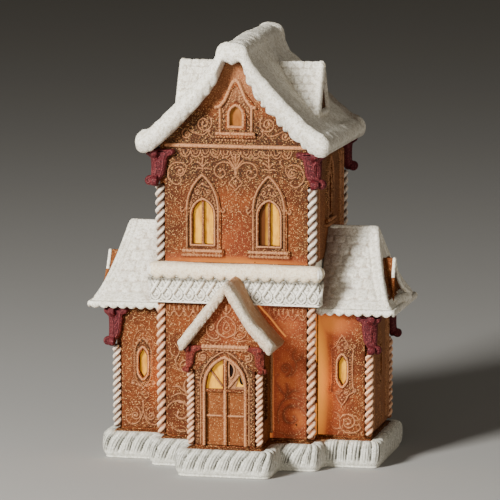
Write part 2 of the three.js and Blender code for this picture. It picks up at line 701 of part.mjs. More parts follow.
// ---------------------------------------------------------------- porch
/** The space of the frieze, the roll and the lower block's front wall, which the porch keeps clear of. */
const houseFront = [
  box(-70, 70, -FRIEZE.lip - GAP, 20, FRIEZE.bottom - GAP, FRIEZE.top + GAP),
  box(-70, 70, -ROLL.lip - GAP, 20, FRIEZE.top, ROLL.top + 4),
  box(-70, 70, -GAP, 20, 0, 200),
];
const porchUnder = (x) => PORCH_ROOF.apex - PORCH_ROOF.thick
  - ((PORCH_ROOF.apex - PORCH_ROOF.eave) * Math.abs(x - PORCH_ROOF.x)) / PORCH_ROOF.half;

const porchSideWindow = { half: 5, bottom: 36, spring: 60, apex: 70 };
const porchFront = wallFrame(0, -PORCH.reach, 0);
const porchRight = wallFrame(PORCH.half, 0, Math.PI / 2);
const porchLeft = wallFrame(-PORCH.half, 0, -Math.PI / 2);
const porchPanes = {
  porch_pane_right: sideWindow(porchRight, -17.5, porchSideWindow),
  porch_pane_left: sideWindow(porchLeft, 17.5, porchSideWindow),
};

/** The porch walls with their gable and the arched doorway. */
function porchWalls() {
  const outline = shapeOf([
    [-PORCH.half, FLOOR_Z + GAP], [PORCH.half, FLOOR_Z + GAP],
    ...[PORCH.half, PORCH_ROOF.x, -PORCH.half].map((x) => [x, porchUnder(x) - 2 * GAP]),
  ]);
  const arch = band(lancet(DOORWAY, DOORWAY.band, 0.3), lancet(DOORWAY, 0, -0.4));
  const doorCut = slab(lancet(DOORWAY, 0, 2), -PANE.depth - PANE.thick - GAP, 6);
  const mouldingBar = box(-14.8, 14.8, 85.4, 88.6, -EMBED, 2.4);
  const bars = [
    box(-DOORWAY.half - 1, DOORWAY.half + 1, DOORWAY.transom - 0.9, DOORWAY.transom + 0.9, -PANE.depth + GAP, 0.6),
    box(-1.3, 1.3, DOORWAY.transom, DOORWAY.apex + 0.5, -PANE.depth + GAP, 0.8),
  ];
  const carved = wallBlock(
    alongY(outline, -PORCH.reach, -GAP),
    Object.values(porchPanes),
    [onWall(porchFront, slab(arch, -EMBED, 1.5)), onWall(porchFront, mouldingBar)],
    [onWall(porchFront, doorCut), ...houseFront],
  );
  const notch = (x) => box(
    x - ROPE.radius - GAP, x + ROPE.radius + GAP, -PORCH.reach - 4, -PORCH.reach + ROPE.radius + GAP, 0, 71,
  );
  const tracery = bars.map((geometry) => onWall(porchFront, geometry));
  return carve(carved, tracery, [notch(-PORCH.half), notch(PORCH.half)]);
}

piece(model, 'porch_walls', porchWalls(), FINISH.gingerbread);
for (const [name, window] of Object.entries(porchPanes)) {
  hangPane(model, name, window);
}

/** The arched light over the door, behind its tracery. */
const doorLight = shapeOf([
  [-DOORWAY.half + GAP, DOORWAY.transom + 0.3], [DOORWAY.half - GAP, DOORWAY.transom + 0.3],
  ...archPoints(DOORWAY.half - GAP, DOORWAY.spring, DOORWAY.apex - GAP * 1.4),
]);
model.add(porchFront);
piece(porchFront, 'door_light', slab(doorLight, -PANE.depth - PANE.thick, -PANE.depth), FINISH.pane);

/** The pair of door leaves: a slab with a raised meeting stile and rails. */
function doorLeaves() {
  const top = DOORWAY.transom - 0.9 - GAP;
  const body = box(-DOORWAY.half + GAP, DOORWAY.half - GAP, DOORWAY.bottom, top, -PANE.depth - PANE.thick, -1.2);
  const panels = [-1, 1].flatMap((side) => [[22.6, 38.8], [41.4, top - 1.6]].map(([low, high]) => box(
    side * 7.2 - 4.9, side * 7.2 + 4.9, low, high, -2, 2,
  )));
  return carve(body, [box(-1.2, 1.2, DOORWAY.bottom, top, -2, 0.6)], panels);
}

piece(porchFront, 'door_leaves', doorLeaves(), FINISH.door);

/** The porch's gable roof, cut to lie against the frieze and the wall. */
function porchRoof() {
  const { apex, eave, half } = PORCH_ROOF;
  const porchSlope = [[0, apex], [3, apex - 2], [half - 1, eave + 0.4], [half, eave - 1]];
  return carve(blanket(porchSlope, PORCH_ROOF).translate(PORCH_ROOF.x, 0, 0), [], houseFront);
}

piece(model, 'porch_roof', porchRoof(), FINISH.icing);

// ---------------------------------------------------------------- rope columns
/** A twisted rope column: a two-stranded section that turns half round for each strand. */
function ropeColumn(z0, z1) {
  const half = ROPE.strandPitch / ROPE.stepsPerStrand;
  const steps = Math.round((z1 - z0) / half);
  const rings = [];
  for (let i = 0; i <= steps; i += 1) {
    const turn = (Math.PI * i) / ROPE.stepsPerStrand;
    rings.push([0, 1, 2, 3].map((k) => {
      const reach = k % 2 === 0 ? ROPE.radius : ROPE.waist;
      const angle = turn + (k * Math.PI) / 2;
      return new THREE.Vector3(reach * Math.cos(angle), reach * Math.sin(angle), z0 + ((z1 - z0) * i) / steps);
    }));
  }
  return loft(rings);
}

const ropes = {
  tower: { z: [ROLL.top + GAP, 190], at: towerCorners },
  block: { z: [FLOOR_Z + GAP, FRIEZE.bottom - GAP], at: [[-BLOCK.half, 0], [BLOCK.half, 0]] },
  wing: {
    z: [FLOOR_Z + GAP, 77.5],
    at: [[-WING.outer, WING.front], [WING.outer, WING.front], [WING.outer, WING.back], [-WING.outer, WING.back]],
  },
  porch: { z: [FLOOR_Z + GAP, 70.6], at: [[-PORCH.half, -PORCH.reach], [PORCH.half, -PORCH.reach]] },
};
const cornerName = (x, y, middle) => `${y < middle ? 'front' : 'back'}_${x < 0 ? 'left' : 'right'}`;
for (const [name, { z, at }] of Object.entries(ropes)) {
  for (const [x, y] of at) {
    const column = piece(model, `${name}_rope_${cornerName(x, y, 50)}`, ropeColumn(...z), FINISH.icing);
    column.position.set(x, y, 0);
  }
}

// ---------------------------------------------------------------- scroll brackets
/** Side view of a scroll bracket: u out past the corner from its inner end, v down from its top. */
function bracketOutline(reach, drop) {
  const curlU = reach - 0.4;
  const curlV = -drop + BRACKET.curl;
  const shape = new THREE.Shape();
  shape.moveTo(0, -drop * 0.1);
  shape.lineTo(0, 0);
  shape.lineTo(reach, 0);
  shape.quadraticCurveTo(reach - 3.6, -drop * 0.22, reach - 3.2, -drop * 0.45);
  shape.quadraticCurveTo(reach - 3, -drop * 0.62, curlU + 1, curlV + BRACKET.curl);
  shape.absarc(curlU, curlV, BRACKET.curl, Math.PI * 0.4, -Math.PI * 0.9, true);
  shape.lineTo(reach - 7, -drop + 0.6);
  shape.quadraticCurveTo(reach - 7.4, -drop * 0.42, 0, -drop * 0.1);
  return new THREE.Shape(shape.getPoints(2));
}

/** A bracket that wraps a corner: one scroll on each of the two walls, joined at the corner. */
function cornerBracket(reach, drop, past) {
  const scroll = bracketOutline(reach, drop);
  const first = slab(scroll, GAP, GAP + BRACKET.thick).translate(past - reach, 0, 0).rotateX(Math.PI / 2);
  const turned = new THREE.Shape(scroll.getPoints().map((p) => new THREE.Vector2(-p.x, p.y)));
  const second = slab(turned, GAP, GAP + BRACKET.thick).translate(reach - past, 0, 0)
    .rotateX(Math.PI / 2).rotateZ(Math.PI / 2);
  return carve(first, [second]);
}

const brackets = {
  tower: { top: 212.4, reach: 19, drop: 22, past: 9, at: towerCorners },
  wing: { top: 101.6, reach: 16, drop: 23.6, past: 8, at: ropes.wing.at },
  porch: { top: 86.2, reach: 12.4, drop: 15.6, past: 5, at: ropes.porch.at },
};
const bracketTurn = { front_right: 0, back_right: Math.PI / 2, back_left: Math.PI, front_left: -Math.PI / 2 };
for (const [name, { top, reach, drop, past, at }] of Object.entries(brackets)) {
  for (const [x, y] of at) {
    const corner = cornerName(x, y, 50);
    const bracket = piece(model, `${name}_bracket_${corner}`, cornerBracket(reach, drop, past), FINISH.burgundy);
    bracket.position.set(x, y, top);
    bracket.rotation.z = bracketTurn[corner];
  }
}

export default house;
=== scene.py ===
"""Looks of the gingerbread house ornament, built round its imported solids.

The house is a cast resin ornament: glittered gingerbread walls with piped scroll relief, snowy
roofs, twisted rope columns, burgundy scroll brackets, amber panes and a piped icing base. Shapes
are worked out in millimetres with numpy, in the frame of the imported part, and put into meshes in
metres. Walls carry carved skins, which are height fields over each wall.
"""

from __future__ import annotations

import logging
import math
from dataclasses import dataclass, field
from enum import Enum
from fnmatch import fnmatchcase
from typing import Optional, Sequence

import bmesh
import bpy
import numpy as np
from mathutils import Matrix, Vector
from numpy.typing import NDArray

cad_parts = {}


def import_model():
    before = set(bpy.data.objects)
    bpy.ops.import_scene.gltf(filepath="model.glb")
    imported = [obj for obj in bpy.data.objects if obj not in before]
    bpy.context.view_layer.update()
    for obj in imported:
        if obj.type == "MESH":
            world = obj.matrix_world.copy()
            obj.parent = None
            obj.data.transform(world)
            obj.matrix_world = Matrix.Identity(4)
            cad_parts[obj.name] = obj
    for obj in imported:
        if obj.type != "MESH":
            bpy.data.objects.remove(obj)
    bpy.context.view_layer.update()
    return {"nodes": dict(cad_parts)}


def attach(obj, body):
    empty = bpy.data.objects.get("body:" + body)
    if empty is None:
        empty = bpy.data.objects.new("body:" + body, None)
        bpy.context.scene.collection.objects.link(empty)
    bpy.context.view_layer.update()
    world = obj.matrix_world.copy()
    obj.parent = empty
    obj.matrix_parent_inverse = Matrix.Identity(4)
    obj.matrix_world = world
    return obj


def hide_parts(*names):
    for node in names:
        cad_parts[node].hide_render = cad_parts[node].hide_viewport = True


LOG = logging.getLogger("gingerbread_house")
Array = NDArray[np.float64]
Socket = bpy.types.NodeSocket
Colour = tuple[float, float, float]
Place = tuple[float, float, float]
Points = Sequence[Sequence[float]]

MM = 0.001
BOTH = (-1.0, 1.0)
BODY = "root"


# ------------------------------------------------------------------------------ house dimensions
@dataclass(frozen=True)
class House:
    """The sizes, in mm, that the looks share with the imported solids."""

    front_y: float = -36.0
    floor_z: float = 20.3
    depth: float = 106.0
    block_half: float = 51.5
    block_top: float = 110.7
    frieze_half: float = 57.5
    frieze_lip: float = 5.5
    frieze_wrap: float = 3.5
    frieze_bottom: float = 111.0
    frieze_top: float = 127.4
    roll_half: float = 60.0
    roll_lip: float = 8.0
    roll_wrap: float = 4.5
    roll_bottom: float = 127.7
    roll_top: float = 137.4
    tower_half: float = 52.0
    tower_bottom: float = 137.7
    porch_half: float = 23.3
    porch_reach: float = 33.5
    wing_outer: float = 87.2
    wing_front: float = 19.0
    wing_back: float = 90.0
    wing_top: float = 103.7
    rope: float = 3.0

    @property
    def wing_middle(self) -> float:
        """Half way between a wing's front and back wall."""
        return (self.wing_front + self.wing_back) / 2


HOUSE = House()


class Side(Enum):
    """The two sides of the house, as the sign of X."""

    LEFT = -1
    RIGHT = 1

    @property
    def word(self) -> str:
        """The side's name in node names."""
        return self.name.lower()


class Facing(Enum):
    """The way a wall looks, as its turn about Z in quarter turns from the front."""

    FRONT = 0
    RIGHT = 1
    BACK = 2
    LEFT = 3


# ------------------------------------------------------------------------------ meshes
@dataclass
class Skin:
    """Points in mm with quads, flat caps and named values at the points."""

    points: Array
    quads: NDArray[np.int64]
    values: dict[str, Array] = field(default_factory=dict)
    caps: list[list[int]] = field(default_factory=list)

    def turned(self) -> "Skin":
        """The same skin with every face turned over."""
        return Skin(self.points, self.quads[:, ::-1], self.values, [cap[::-1] for cap in self.caps])

    def on(self, side: Side, dy: float = 0.0) -> "Skin":
        """The skin moved along Y, and mirrored in X for the left side."""
        points = (self.points + (0.0, dy, 0.0)) * (side.value, 1.0, 1.0)
        placed = Skin(points, self.quads, self.values, self.caps)
        return placed if side is Side.RIGHT else placed.turned()

    def facing_out(self) -> "Skin":
        """The same closed skin, turned if the sum of its triangles' products with the origin is negative."""
        corner = self.points[self.quads]
        triangles = [corner[:, :3], corner[:, [0, 2, 3]]]
        for cap in self.caps:
            ring = self.points[np.array(cap)]
            fan = [np.broadcast_to(ring[0], ring[1:-1].shape), ring[1:-1], ring[2:]]
            triangles.append(np.stack(fan, axis=1))
        first, second, third = np.concatenate(triangles).transpose(1, 0, 2)
        return self if (first * np.cross(second, third)).sum() >= 0.0 else self.turned()


def joined(skins: Sequence[Skin]) -> Skin:
    """One skin from several, with every named value filled with 0 where a skin lacks it."""
    names = sorted({name for skin in skins for name in skin.values})
    starts = np.cumsum([0] + [len(skin.points) for skin in skins])
    return Skin(
        np.concatenate([skin.points for skin in skins]),
        np.concatenate([skin.quads + start for skin, start in zip(skins, starts)]),
        {name: np.concatenate([skin.values.get(name, np.zeros(len(skin.points))) for skin in skins])
         for name in names},
        [[index + int(start) for index in cap] for skin, start in zip(skins, starts) for cap in skin.caps],
    )


def grid_quads(rows: int, columns: int, wrap_rows: bool = False,
               wrap_columns: bool = False) -> NDArray[np.int64]:
    """Quads between the neighbours of a rows x columns grid of points, stored row by row."""
    row, column = np.mgrid[:rows if wrap_rows else rows - 1, :columns if wrap_columns else columns - 1]
    next_row, next_column = (row + 1) % rows, (column + 1) % columns
    corners = ((row, column), (row, next_column), (next_row, next_column), (next_row, column))
    return np.stack([down * columns + across for down, across in corners], axis=-1).reshape(-1, 4)


def tube_skin(rings: Array, capped: bool = True, looped: bool = False, **values: Array) -> Skin:
    """A closed skin through rings of points.

    Args:
        rings: Points as rings x points round a ring x 3.
        capped: Whether the first and last rings are closed with flat caps.
        looped: Whether the last ring joins the first instead.
        values: Named values, one for each point, shaped rings x points round a ring.

    Returns:
        The skin, facing out.
    """
    rows, columns = rings.shape[:2]
    ends = [list(range(columns))[::-1], list(range((rows - 1) * columns, rows * columns))]
    return Skin(rings.reshape(-1, 3), grid_quads(rows, columns, looped, True),
                {name: value.reshape(-1) for name, value in values.items()},
                ends if capped and not looped else []).facing_out()


def build(name: str, skin: Skin, material: bpy.types.Material,
          replaces: Sequence[str] = (), weld: bool = False) -> None:
    """Puts a skin into the scene as one piece of the house.

    Args:
        name: The piece's name.
        skin: Its points in mm, in the house's own frame with the tower's front wall at y = 0.
        material: Its finish.
        replaces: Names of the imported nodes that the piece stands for.
        weld: Whether points that coincide are merged.
    """
    mesh = bpy.data.meshes.new(name)
    mesh.from_pydata((skin.points + (0.0, HOUSE.front_y, 0.0)) * MM, [], skin.quads.tolist() + skin.caps)
    for value_name, value in skin.values.items():
        layer = mesh.attributes.new(value_name, "FLOAT", "POINT")
        layer.data.foreach_set("value", value.astype(np.float32))
    if weld:
        shell = bmesh.new()
        shell.from_mesh(mesh)
        bmesh.ops.remove_doubles(shell, verts=shell.verts, dist=2e-6)
        bmesh.ops.dissolve_degenerate(shell, edges=shell.edges, dist=1e-7)
        shell.to_mesh(mesh)
        shell.free()
    mesh.shade_smooth()
    mesh.materials.append(material)
    piece = bpy.data.objects.new(name, mesh)
    bpy.context.scene.collection.objects.link(piece)
    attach(piece, BODY)
    if replaces:
        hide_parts(*replaces)
    LOG.info("%s: %d points", name, len(mesh.vertices))


# ------------------------------------------------------------------------------ curves and fields
def path_through(points: Points, spacing: float = 0.35, closed: bool = False) -> Array:
    """A smooth path through points: a centripetal-like Catmull-Rom cubic, resampled by its length.

    Args:
        points: Points to pass through, in two or three dimensions.
        spacing: Distance between the samples, in mm.
        closed: Whether the path returns to its start.

    Returns:
        The samples as an array of points.
    """
    knots = np.asarray(points, float)
    if closed:
        padded = np.concatenate([knots[-1:], knots, knots[:2]])
    else:
        padded = np.concatenate([2 * knots[:1] - knots[1:2], knots, 2 * knots[-1:] - knots[-2:-1]])
    before, start, end, after = padded[:-3], padded[1:-2], padded[2:-1], padded[3:]
    t = np.linspace(0.0, 1.0, 24, endpoint=False)[None, :, None]
    spans = 0.5 * (2 * start[:, None] + (end - before)[:, None] * t
                   + (2 * before - 5 * start + 4 * end - after)[:, None] * t ** 2
                   + (3 * start - before - 3 * end + after)[:, None] * t ** 3)
    dense = np.concatenate([spans.reshape(-1, knots.shape[1]), padded[-2:-1]])
    return resampled(dense, spacing)


def arc_lengths(line: Array) -> Array:
    """Length along a polyline at each of its points."""
    return np.concatenate([[0.0], np.cumsum(np.linalg.norm(np.diff(line, axis=0), axis=1))])


def resampled(dense: Points, spacing: float) -> Array:
    """The same polyline with samples an even distance apart along its length."""
    dense = np.asarray(dense, float)
    lengths = arc_lengths(dense)
    marks = np.linspace(0.0, lengths[-1], max(2, int(round(lengths[-1] / spacing)) + 1))
    return np.stack([np.interp(marks, lengths, dense[:, k]) for k in range(dense.shape[1])], axis=1)


def spiral(centre: tuple[float, float], radius: float, start: float, turns: float,
           inner: float = 0.18) -> Array:
    """A volute: an arc whose radius shrinks evenly from radius to a share of it.

    Args:
        centre: Its middle.
        radius: Radius at its outer end.
        start: Angle of the outer end, in degrees.
        turns: Turns inwards, positive against the clock.
        inner: Share of the radius that is left at the inner end.

    Returns:
        Samples from the outer end to the inner one.
    """
    share = np.linspace(0.0, 1.0, max(16, int(abs(turns) * radius * 16)))
    angle = math.radians(start) + 2 * math.pi * turns * share
    reach = radius * (1 - (1 - inner) * share ** 0.85)
    return np.stack([centre[0] + reach * np.cos(angle), centre[1] + reach * np.sin(angle)], axis=1)


def arch(half: float, bottom: float, spring: float, apex: float, grow: float = 0.0, steps: int = 14) -> Array:
    """The closed outline of a pointed arch of two arcs, from its lower left corner anticlockwise."""
    half, bottom, apex = half + grow, bottom - grow, apex + 1.4 * grow
    rise = apex - spring
    radius = (half * half + rise * rise) / (2 * half)
    angle = np.linspace(0.0, math.asin(min(1.0, rise / radius)), steps)
    right = np.stack([half - radius + radius * np.cos(angle), spring + radius * np.sin(angle)], axis=1)
    right[-1] = (0.0, apex)
    left = right[:-1][::-1] * (-1.0, 1.0)
    return np.concatenate([[(-half, bottom), (half, bottom)], right, left])


def inside(outline: Array, u: Array, v: Array) -> Array:
    """Whether points lie in a closed outline, by the parity of its crossings with a line to the right."""
    hit = np.zeros(u.shape, bool)
    for (ua, va), (ub, vb) in zip(outline, np.roll(outline, -1, axis=0)):
        if va == vb:
            continue
        crosses = (va > v) != (vb > v)
        hit ^= crosses & (u < (ub - ua) * (v - va) / (vb - va) + ua)
    return hit


def lumps(points: Array, size: float, seed: int) -> Array:
    """Smooth noise from -1 to 1: random values on a lattice of the given size, blended between."""
    scaled = points / size + 1000.0
    cell = np.floor(scaled).astype(np.int64)
    share = scaled - cell
    share = share * share * (3 - 2 * share)
    total = np.zeros(points.shape[:-1])
    for corner in np.ndindex(2, 2, 2):
        place = cell + np.array(corner)
        mixed = seed * 2654435761
        for axis, prime in enumerate((73856093, 19349663, 83492791)):
            mixed = mixed ^ (place[..., axis] * prime)
        value = ((mixed ^ (mixed >> 13)) * 1274126177 & 0xFFFFFF) / 0xFFFFFF * 2 - 1
        weight = np.prod(np.where(np.array(corner) == 1, share, 1 - share), axis=-1)
        total += value * weight
    return total


def smooth_step(value: Array, low: float, high: float) -> Array:
    """0 below low, 1 above high and an S curve between."""
    share = np.clip((value - low) / (high - low), 0.0, 1.0)
    return share * share * (3 - 2 * share)


def lobes(places: Array, pitch: float, depth: float, seed: float) -> Array:
    """Uneven scallops along a line: each is 1 - (2 f - 1) ^ 2 of its own depth, f its share of the pitch."""
    warped = places / pitch + 0.25 * np.sin(2.3 * places / pitch + seed)
    cell = np.floor(warped)
    own = 0.62 + 0.38 * np.sin(12.9898 * cell + 78.233 * seed)
    return depth * own * (1 - (2 * (warped - cell) - 1) ** 2)


def blurred(raster: Array, reach: int) -> Array:
    """A raster after two passes of a box average along each axis."""
    out = raster
    width = 2 * reach + 1
    for _ in range(2):
        for axis in (0, 1):
            pad = [(0, 0), (0, 0)]
            pad[axis] = (reach + 1, reach)
            total = np.cumsum(np.pad(out, pad, mode="edge"), axis=axis)
            high = np.take(total, np.arange(width, total.shape[axis]), axis=axis)
            low = np.take(total, np.arange(0, total.shape[axis] - width), axis=axis)
            out = (high - low) / width
    return out


# ------------------------------------------------------------------------------ carving
@dataclass(frozen=True)
class Wall:
    """A wall's own frame: u along it, v up, w out of it, with its middle at (x, y)."""

    x: float
    y: float
    facing: Facing = Facing.FRONT

    def place(self, u: Array, v: Array, w: Array) -> Array:
        """Points of the house frame at the given places on the wall."""
        turn = self.facing.value * math.pi / 2
        c, s = math.cos(turn), math.sin(turn)
        return np.stack([self.x + u * c + w * s, self.y + u * s - w * c, v + 0 * u], axis=-1)


@dataclass
class Carving:
    """A height field on a wall, with how pale each place is, how dark it is (antique wash and painted shade)
    and how much painted glow it has.
    """

    left: float
    right: float
    bottom: float
    top: float
    step: float = 0.5

    def __post_init__(self) -> None:
        """Lays out the raster."""
        columns = int(round((self.right - self.left) / self.step)) + 1
        rows = int(round((self.top - self.bottom) / self.step)) + 1
        self.u, self.v = np.meshgrid(np.linspace(self.left, self.right, columns),
                                     np.linspace(self.bottom, self.top, rows))
        self.height, self.pale, self.dark, self.lit, self.flare = np.zeros((5, rows, columns))
        self.cut = np.zeros(self.u.shape, bool)

    def stamp(self, samples: Array, radius: Array, height: Array, pale: float = 1.0,
              power: float = 2.0) -> None:
        """Raises a dome over each sample: height * (1 - (distance / radius) ** power) ** 0.5."""
        rows, columns = self.u.shape
        du, dv = (self.right - self.left) / (columns - 1), (self.top - self.bottom) / (rows - 1)
        reach = int(math.ceil(float(np.max(radius)) / min(du, dv))) + 1
        offset_v, offset_u = np.mgrid[-reach:reach + 1, -reach:reach + 1]
        column = np.round((samples[:, 0] - self.left) / du).astype(int)[:, None, None] + offset_u
        row = np.round((samples[:, 1] - self.bottom) / dv).astype(int)[:, None, None] + offset_v
        away = np.hypot(self.left + column * du - samples[:, 0, None, None],
                        self.bottom + row * dv - samples[:, 1, None, None])
        dome = np.sqrt(np.clip(1 - (away / radius[:, None, None]) ** power, 0.0, None))
        fits = (column >= 0) & (column < columns) & (row >= 0) & (row < rows) & (dome > 0)
        index = (row[fits], column[fits])
        np.maximum.at(self.height, index, (dome * height[:, None, None])[fits])
        np.maximum.at(self.pale, index, np.clip((dome[fits] - 0.25) / 0.5, 0.0, 1.0) * pale)

    def line(self, path: Points, radius: float = 0.62, height: float = 0.75, pale: float = 0.7,
             ends: float = 0.55, power: float = 2.0) -> None:
        """Carves a rounded line along a path, thinner at its ends by the share given."""
        radius = radius if power > 2.0 else 0.76 * radius
        samples = resampled(path, min(0.4, radius * 0.6))
        share = np.linspace(0.0, 1.0, len(samples))
        swell = ends + (1 - ends) * np.sin(math.pi * np.clip(share, 0.02, 0.98)) ** 0.5
        self.stamp(samples, radius * swell, height * (0.6 + 0.4 * swell), pale, power)

    def dots(self, places: Points, radius: float, height: float, pale: float = 1.0) -> None:
        """Carves a round bead at each place."""
        samples = np.asarray(places, float)
        size = np.ones(len(samples))
        self.stamp(samples, radius * size, height * size, pale)

    def beads(self, path: Points, pitch: float, radius: float, height: float,
              pale: float = 1.0) -> None:
        """Carves round beads an even distance apart along a path."""
        self.dots(resampled(path, pitch), radius, height, pale)

    def lace(self, near: float, far: float, low: float, high: float, first: float, pitch: float,
             radius: float) -> None:
        """Carves a lace band at both sides: two upright lines, beads and arcs between them.

        Args:
            near: Distance of the outer line from the middle.
            far: Distance of the inner line.
            low: Foot of the lines.
            high: Head of the lines.
            first: Height of the lowest arc.
            pitch: Distance between the arcs and between the beads.
            radius: Radius of the lines.
        """
        middle = (near + far) / 2
        for sign in BOTH:
            for u in (near, far):
                self.line([(sign * u, low), (sign * u, high)], radius, radius + 0.2, 1.0, 0.95)
            self.beads([(sign * middle, low + 2.0), (sign * middle, high - 2.0)], pitch, radius + 0.1,
                       0.5 + radius / 2, 0.9)
            for z in np.arange(first, high - 2.0, pitch):
                arc = [(sign * near, z), (sign * middle, z + pitch / 2), (sign * far, z)]
                self.line(path_through(arc), 0.45, 0.8)

    def open(self, outline: Points) -> None:
        """Leaves an opening out of the skin."""
        self.cut |= inside(outline, self.u, self.v)

    def trim(self, outline: Points) -> None:
        """Keeps only what lies in an outline."""
        self.cut |= ~inside(outline, self.u, self.v)

    def shade(self, outline: Points, amount: float) -> None:
        """Darkens the ground inside an outline."""
        self.dark = np.where(inside(outline, self.u, self.v), np.maximum(self.dark, amount), self.dark)

    def glow(self, middle: tuple[float, float], reach: tuple[float, float], amount: float) -> None:
        """Paints a pool of the lamp's light on the ground, as glow that fades as exp(-distance ^ 2.4)."""
        away = ((self.u - middle[0]) / reach[0]) ** 2 + ((self.v - middle[1]) / reach[1]) ** 2
        self.lit = np.maximum(self.lit, amount * np.exp(-away ** 1.2))

    def skin(self, wall: Wall, seed: int, lift: float = 0.12) -> Skin:
        """The carved skin on its wall.

        Height fields stand lift mm off the wall, with a fine unevenness, and dip into the wall at the
        rim. The darkening is the blurred relief, so it gathers in the corners beside every raised line:
        antique wash and painted shade together. Near the wall's rim it adds painted shade, and the lit
        value is painted glow.
        rim. The wash is the blurred relief, so it gathers in the corners beside every raised line.
        """
        near = blurred((self.height > 0.1).astype(float), max(1, int(round(1.1 / self.step))))
        edge = np.minimum(np.minimum(self.u - self.left, self.right - self.u),
                          np.minimum(self.v - self.bottom, self.top - self.v))
        # darker beside raised lines (antique wash and painted shade) and near the wall's rim (painted shade
        # in the corners)
        dark = 0.85 * near + self.dark + 0.35 * np.exp(-edge / 2.2) + 0.3 * np.exp(-edge / 8.0)
        dark = np.clip(dark, 0.0, 1.0) * (1 - 0.9 * self.pale)
        # painted glow: the lamp's pools and the bright flare lines, dimmer over the relief
        shine = np.maximum(self.lit * (1 - 0.5 * np.clip(1.3 * near, 0, 1)), self.flare)
        # where the painted glow lies, the darkening and the pale paint give way to it
        dark = dark * (1 - 0.75 * smooth_step(self.lit, 0.1, 0.5))
        pale = self.pale * (1 - 0.9 * smooth_step(self.lit, 0.1, 0.6))
        ground = self.place_noise(wall, seed)
        rim = np.where(edge < self.step * 0.5, -0.5, 0.0)
        points = wall.place(self.u, self.v, lift + 1.2 * self.height + ground + rim)
        quads = grid_quads(*self.u.shape)
        kept = ~self.cut.reshape(-1)[quads].any(axis=1)
        used, quads = np.unique(quads[kept], return_inverse=True)
        return Skin(points.reshape(-1, 3)[used], quads.reshape(-1, 4),
                    {"pale": pale.reshape(-1)[used], "dark": dark.reshape(-1)[used],
                     "lit": shine.reshape(-1)[used]})

    def place_noise(self, wall: Wall, seed: int) -> Array:
        """The unevenness of the cast ground, in mm."""
        flat = wall.place(self.u, self.v, np.zeros_like(self.u))
        return 0.10 * lumps(flat, 6.0, seed) + 0.05 * lumps(flat, 1.6, seed + 1)


@dataclass(frozen=True)
class Ornament:
    """Half of a mirrored piece of piped scrollwork, as tables of its parts.

    Attributes:
        strokes: Radius, height, share left at the ends, then u and v of each point.
        volutes: u, v, radius, start angle, its change with the side, turns and width of each volute, which
            ends in a bead.
        dots: u and v of each bead.
        bead: Radius, height and paleness of the beads.
    """

    strokes: Points = ()
    volutes: Points = ()
    dots: Sequence[float] = ()
    bead: Place = (0.6, 0.7, 0.9)

    def carve(self, ground: Carving, u: float = 0.0, v: float = 0.0, out: float = 0.0,
              signs: Sequence[float] = BOTH) -> None:
        """Carves it on both sides of a line.

        Args:
            ground: The height field.
            u: Where the line of mirroring lies.
            v: How far the ornament is raised.
            out: How far each half is moved away from the line.
            signs: The sides that it is carved on.
        """
        for sign in signs:
            for radius, height, ends, *points in self.strokes:
                path = (np.reshape(points, (-1, 2)) + (out, 0.0)) * (sign, 1.0) + (u, v)
                ground.line(path_through(path), radius, height, ends=ends)
            for centre_u, centre_v, radius, start, change, turns, width in self.volutes:
                centre = (u + sign * (out + centre_u), v + centre_v)
                path = spiral(centre, radius, start + sign * change, sign * turns)
                ground.line(path, width, 0.75, ends=0.8)
                ground.dots(path[-1:], width * 1.45, 0.95)
            if self.dots:
                places = (np.reshape(self.dots, (-1, 2)) + (out, 0.0)) * (sign, 1.0) + (u, v)
                ground.dots(places, *self.bead)


def frame_bar(path: Points, wall: Wall, radius: float, centre_w: float, closed: bool = False,
              pale: float = 1.0, dark: float = 0.0, bead: float = 0.0, pitch: float = 1.6) -> Skin:
    """A round bar along an outline on a wall, as a section of eight points carried along it.

    Args:
        path: The outline, in u and v.
        wall: The wall it lies on.
        radius: The bar's radius.
        centre_w: How far the bar's middle stands out of the wall.
        closed: Whether the outline closes.
        pale: How pale its paint is.
        dark: The least darkness over the whole bar; its side against the wall is darker still, as painted
            shade.
        bead: Share of the radius by which it swells and narrows, for a beaded bar.
        pitch: Distance between the beads.

    Returns:
        The closed skin.
    """
    samples = resampled(np.concatenate([path, path[:1]]) if closed else path, 0.55)
    if closed:
        samples = samples[:-1]
        padded = np.concatenate([samples[-1:], samples, samples[:1]])
    else:
        padded = np.concatenate([2 * samples[:1] - samples[1:2], samples, 2 * samples[-1:] - samples[-2:-1]])
    along = padded[2:] - padded[:-2]
    along /= np.maximum(np.linalg.norm(along, axis=1, keepdims=True), 1e-9)
    across = np.stack([along[:, 1], -along[:, 0]], axis=1)
    angle = np.linspace(0.0, 2 * math.pi, 8, endpoint=False)
    reach = radius * (1 - bead * np.cos(2 * math.pi * 0.55 * np.arange(len(samples)) / pitch))[:, None]
    uv = samples[:, None, :] + across[:, None, :] * (reach * np.cos(angle))[..., None]
    rings = wall.place(uv[..., 0], uv[..., 1], centre_w + reach * np.sin(angle))
    # paler on its outer side; darker on the side against the wall: painted shade
    pales = np.broadcast_to(pale * (0.45 + 0.55 * np.clip(np.sin(angle), 0, 1)), uv.shape[:2])
    darks = np.broadcast_to(np.maximum(dark, 0.8 * np.clip(0.35 - np.sin(angle), 0, 1)), uv.shape[:2])
    return tube_skin(rings, looped=closed, pale=pales, dark=darks)


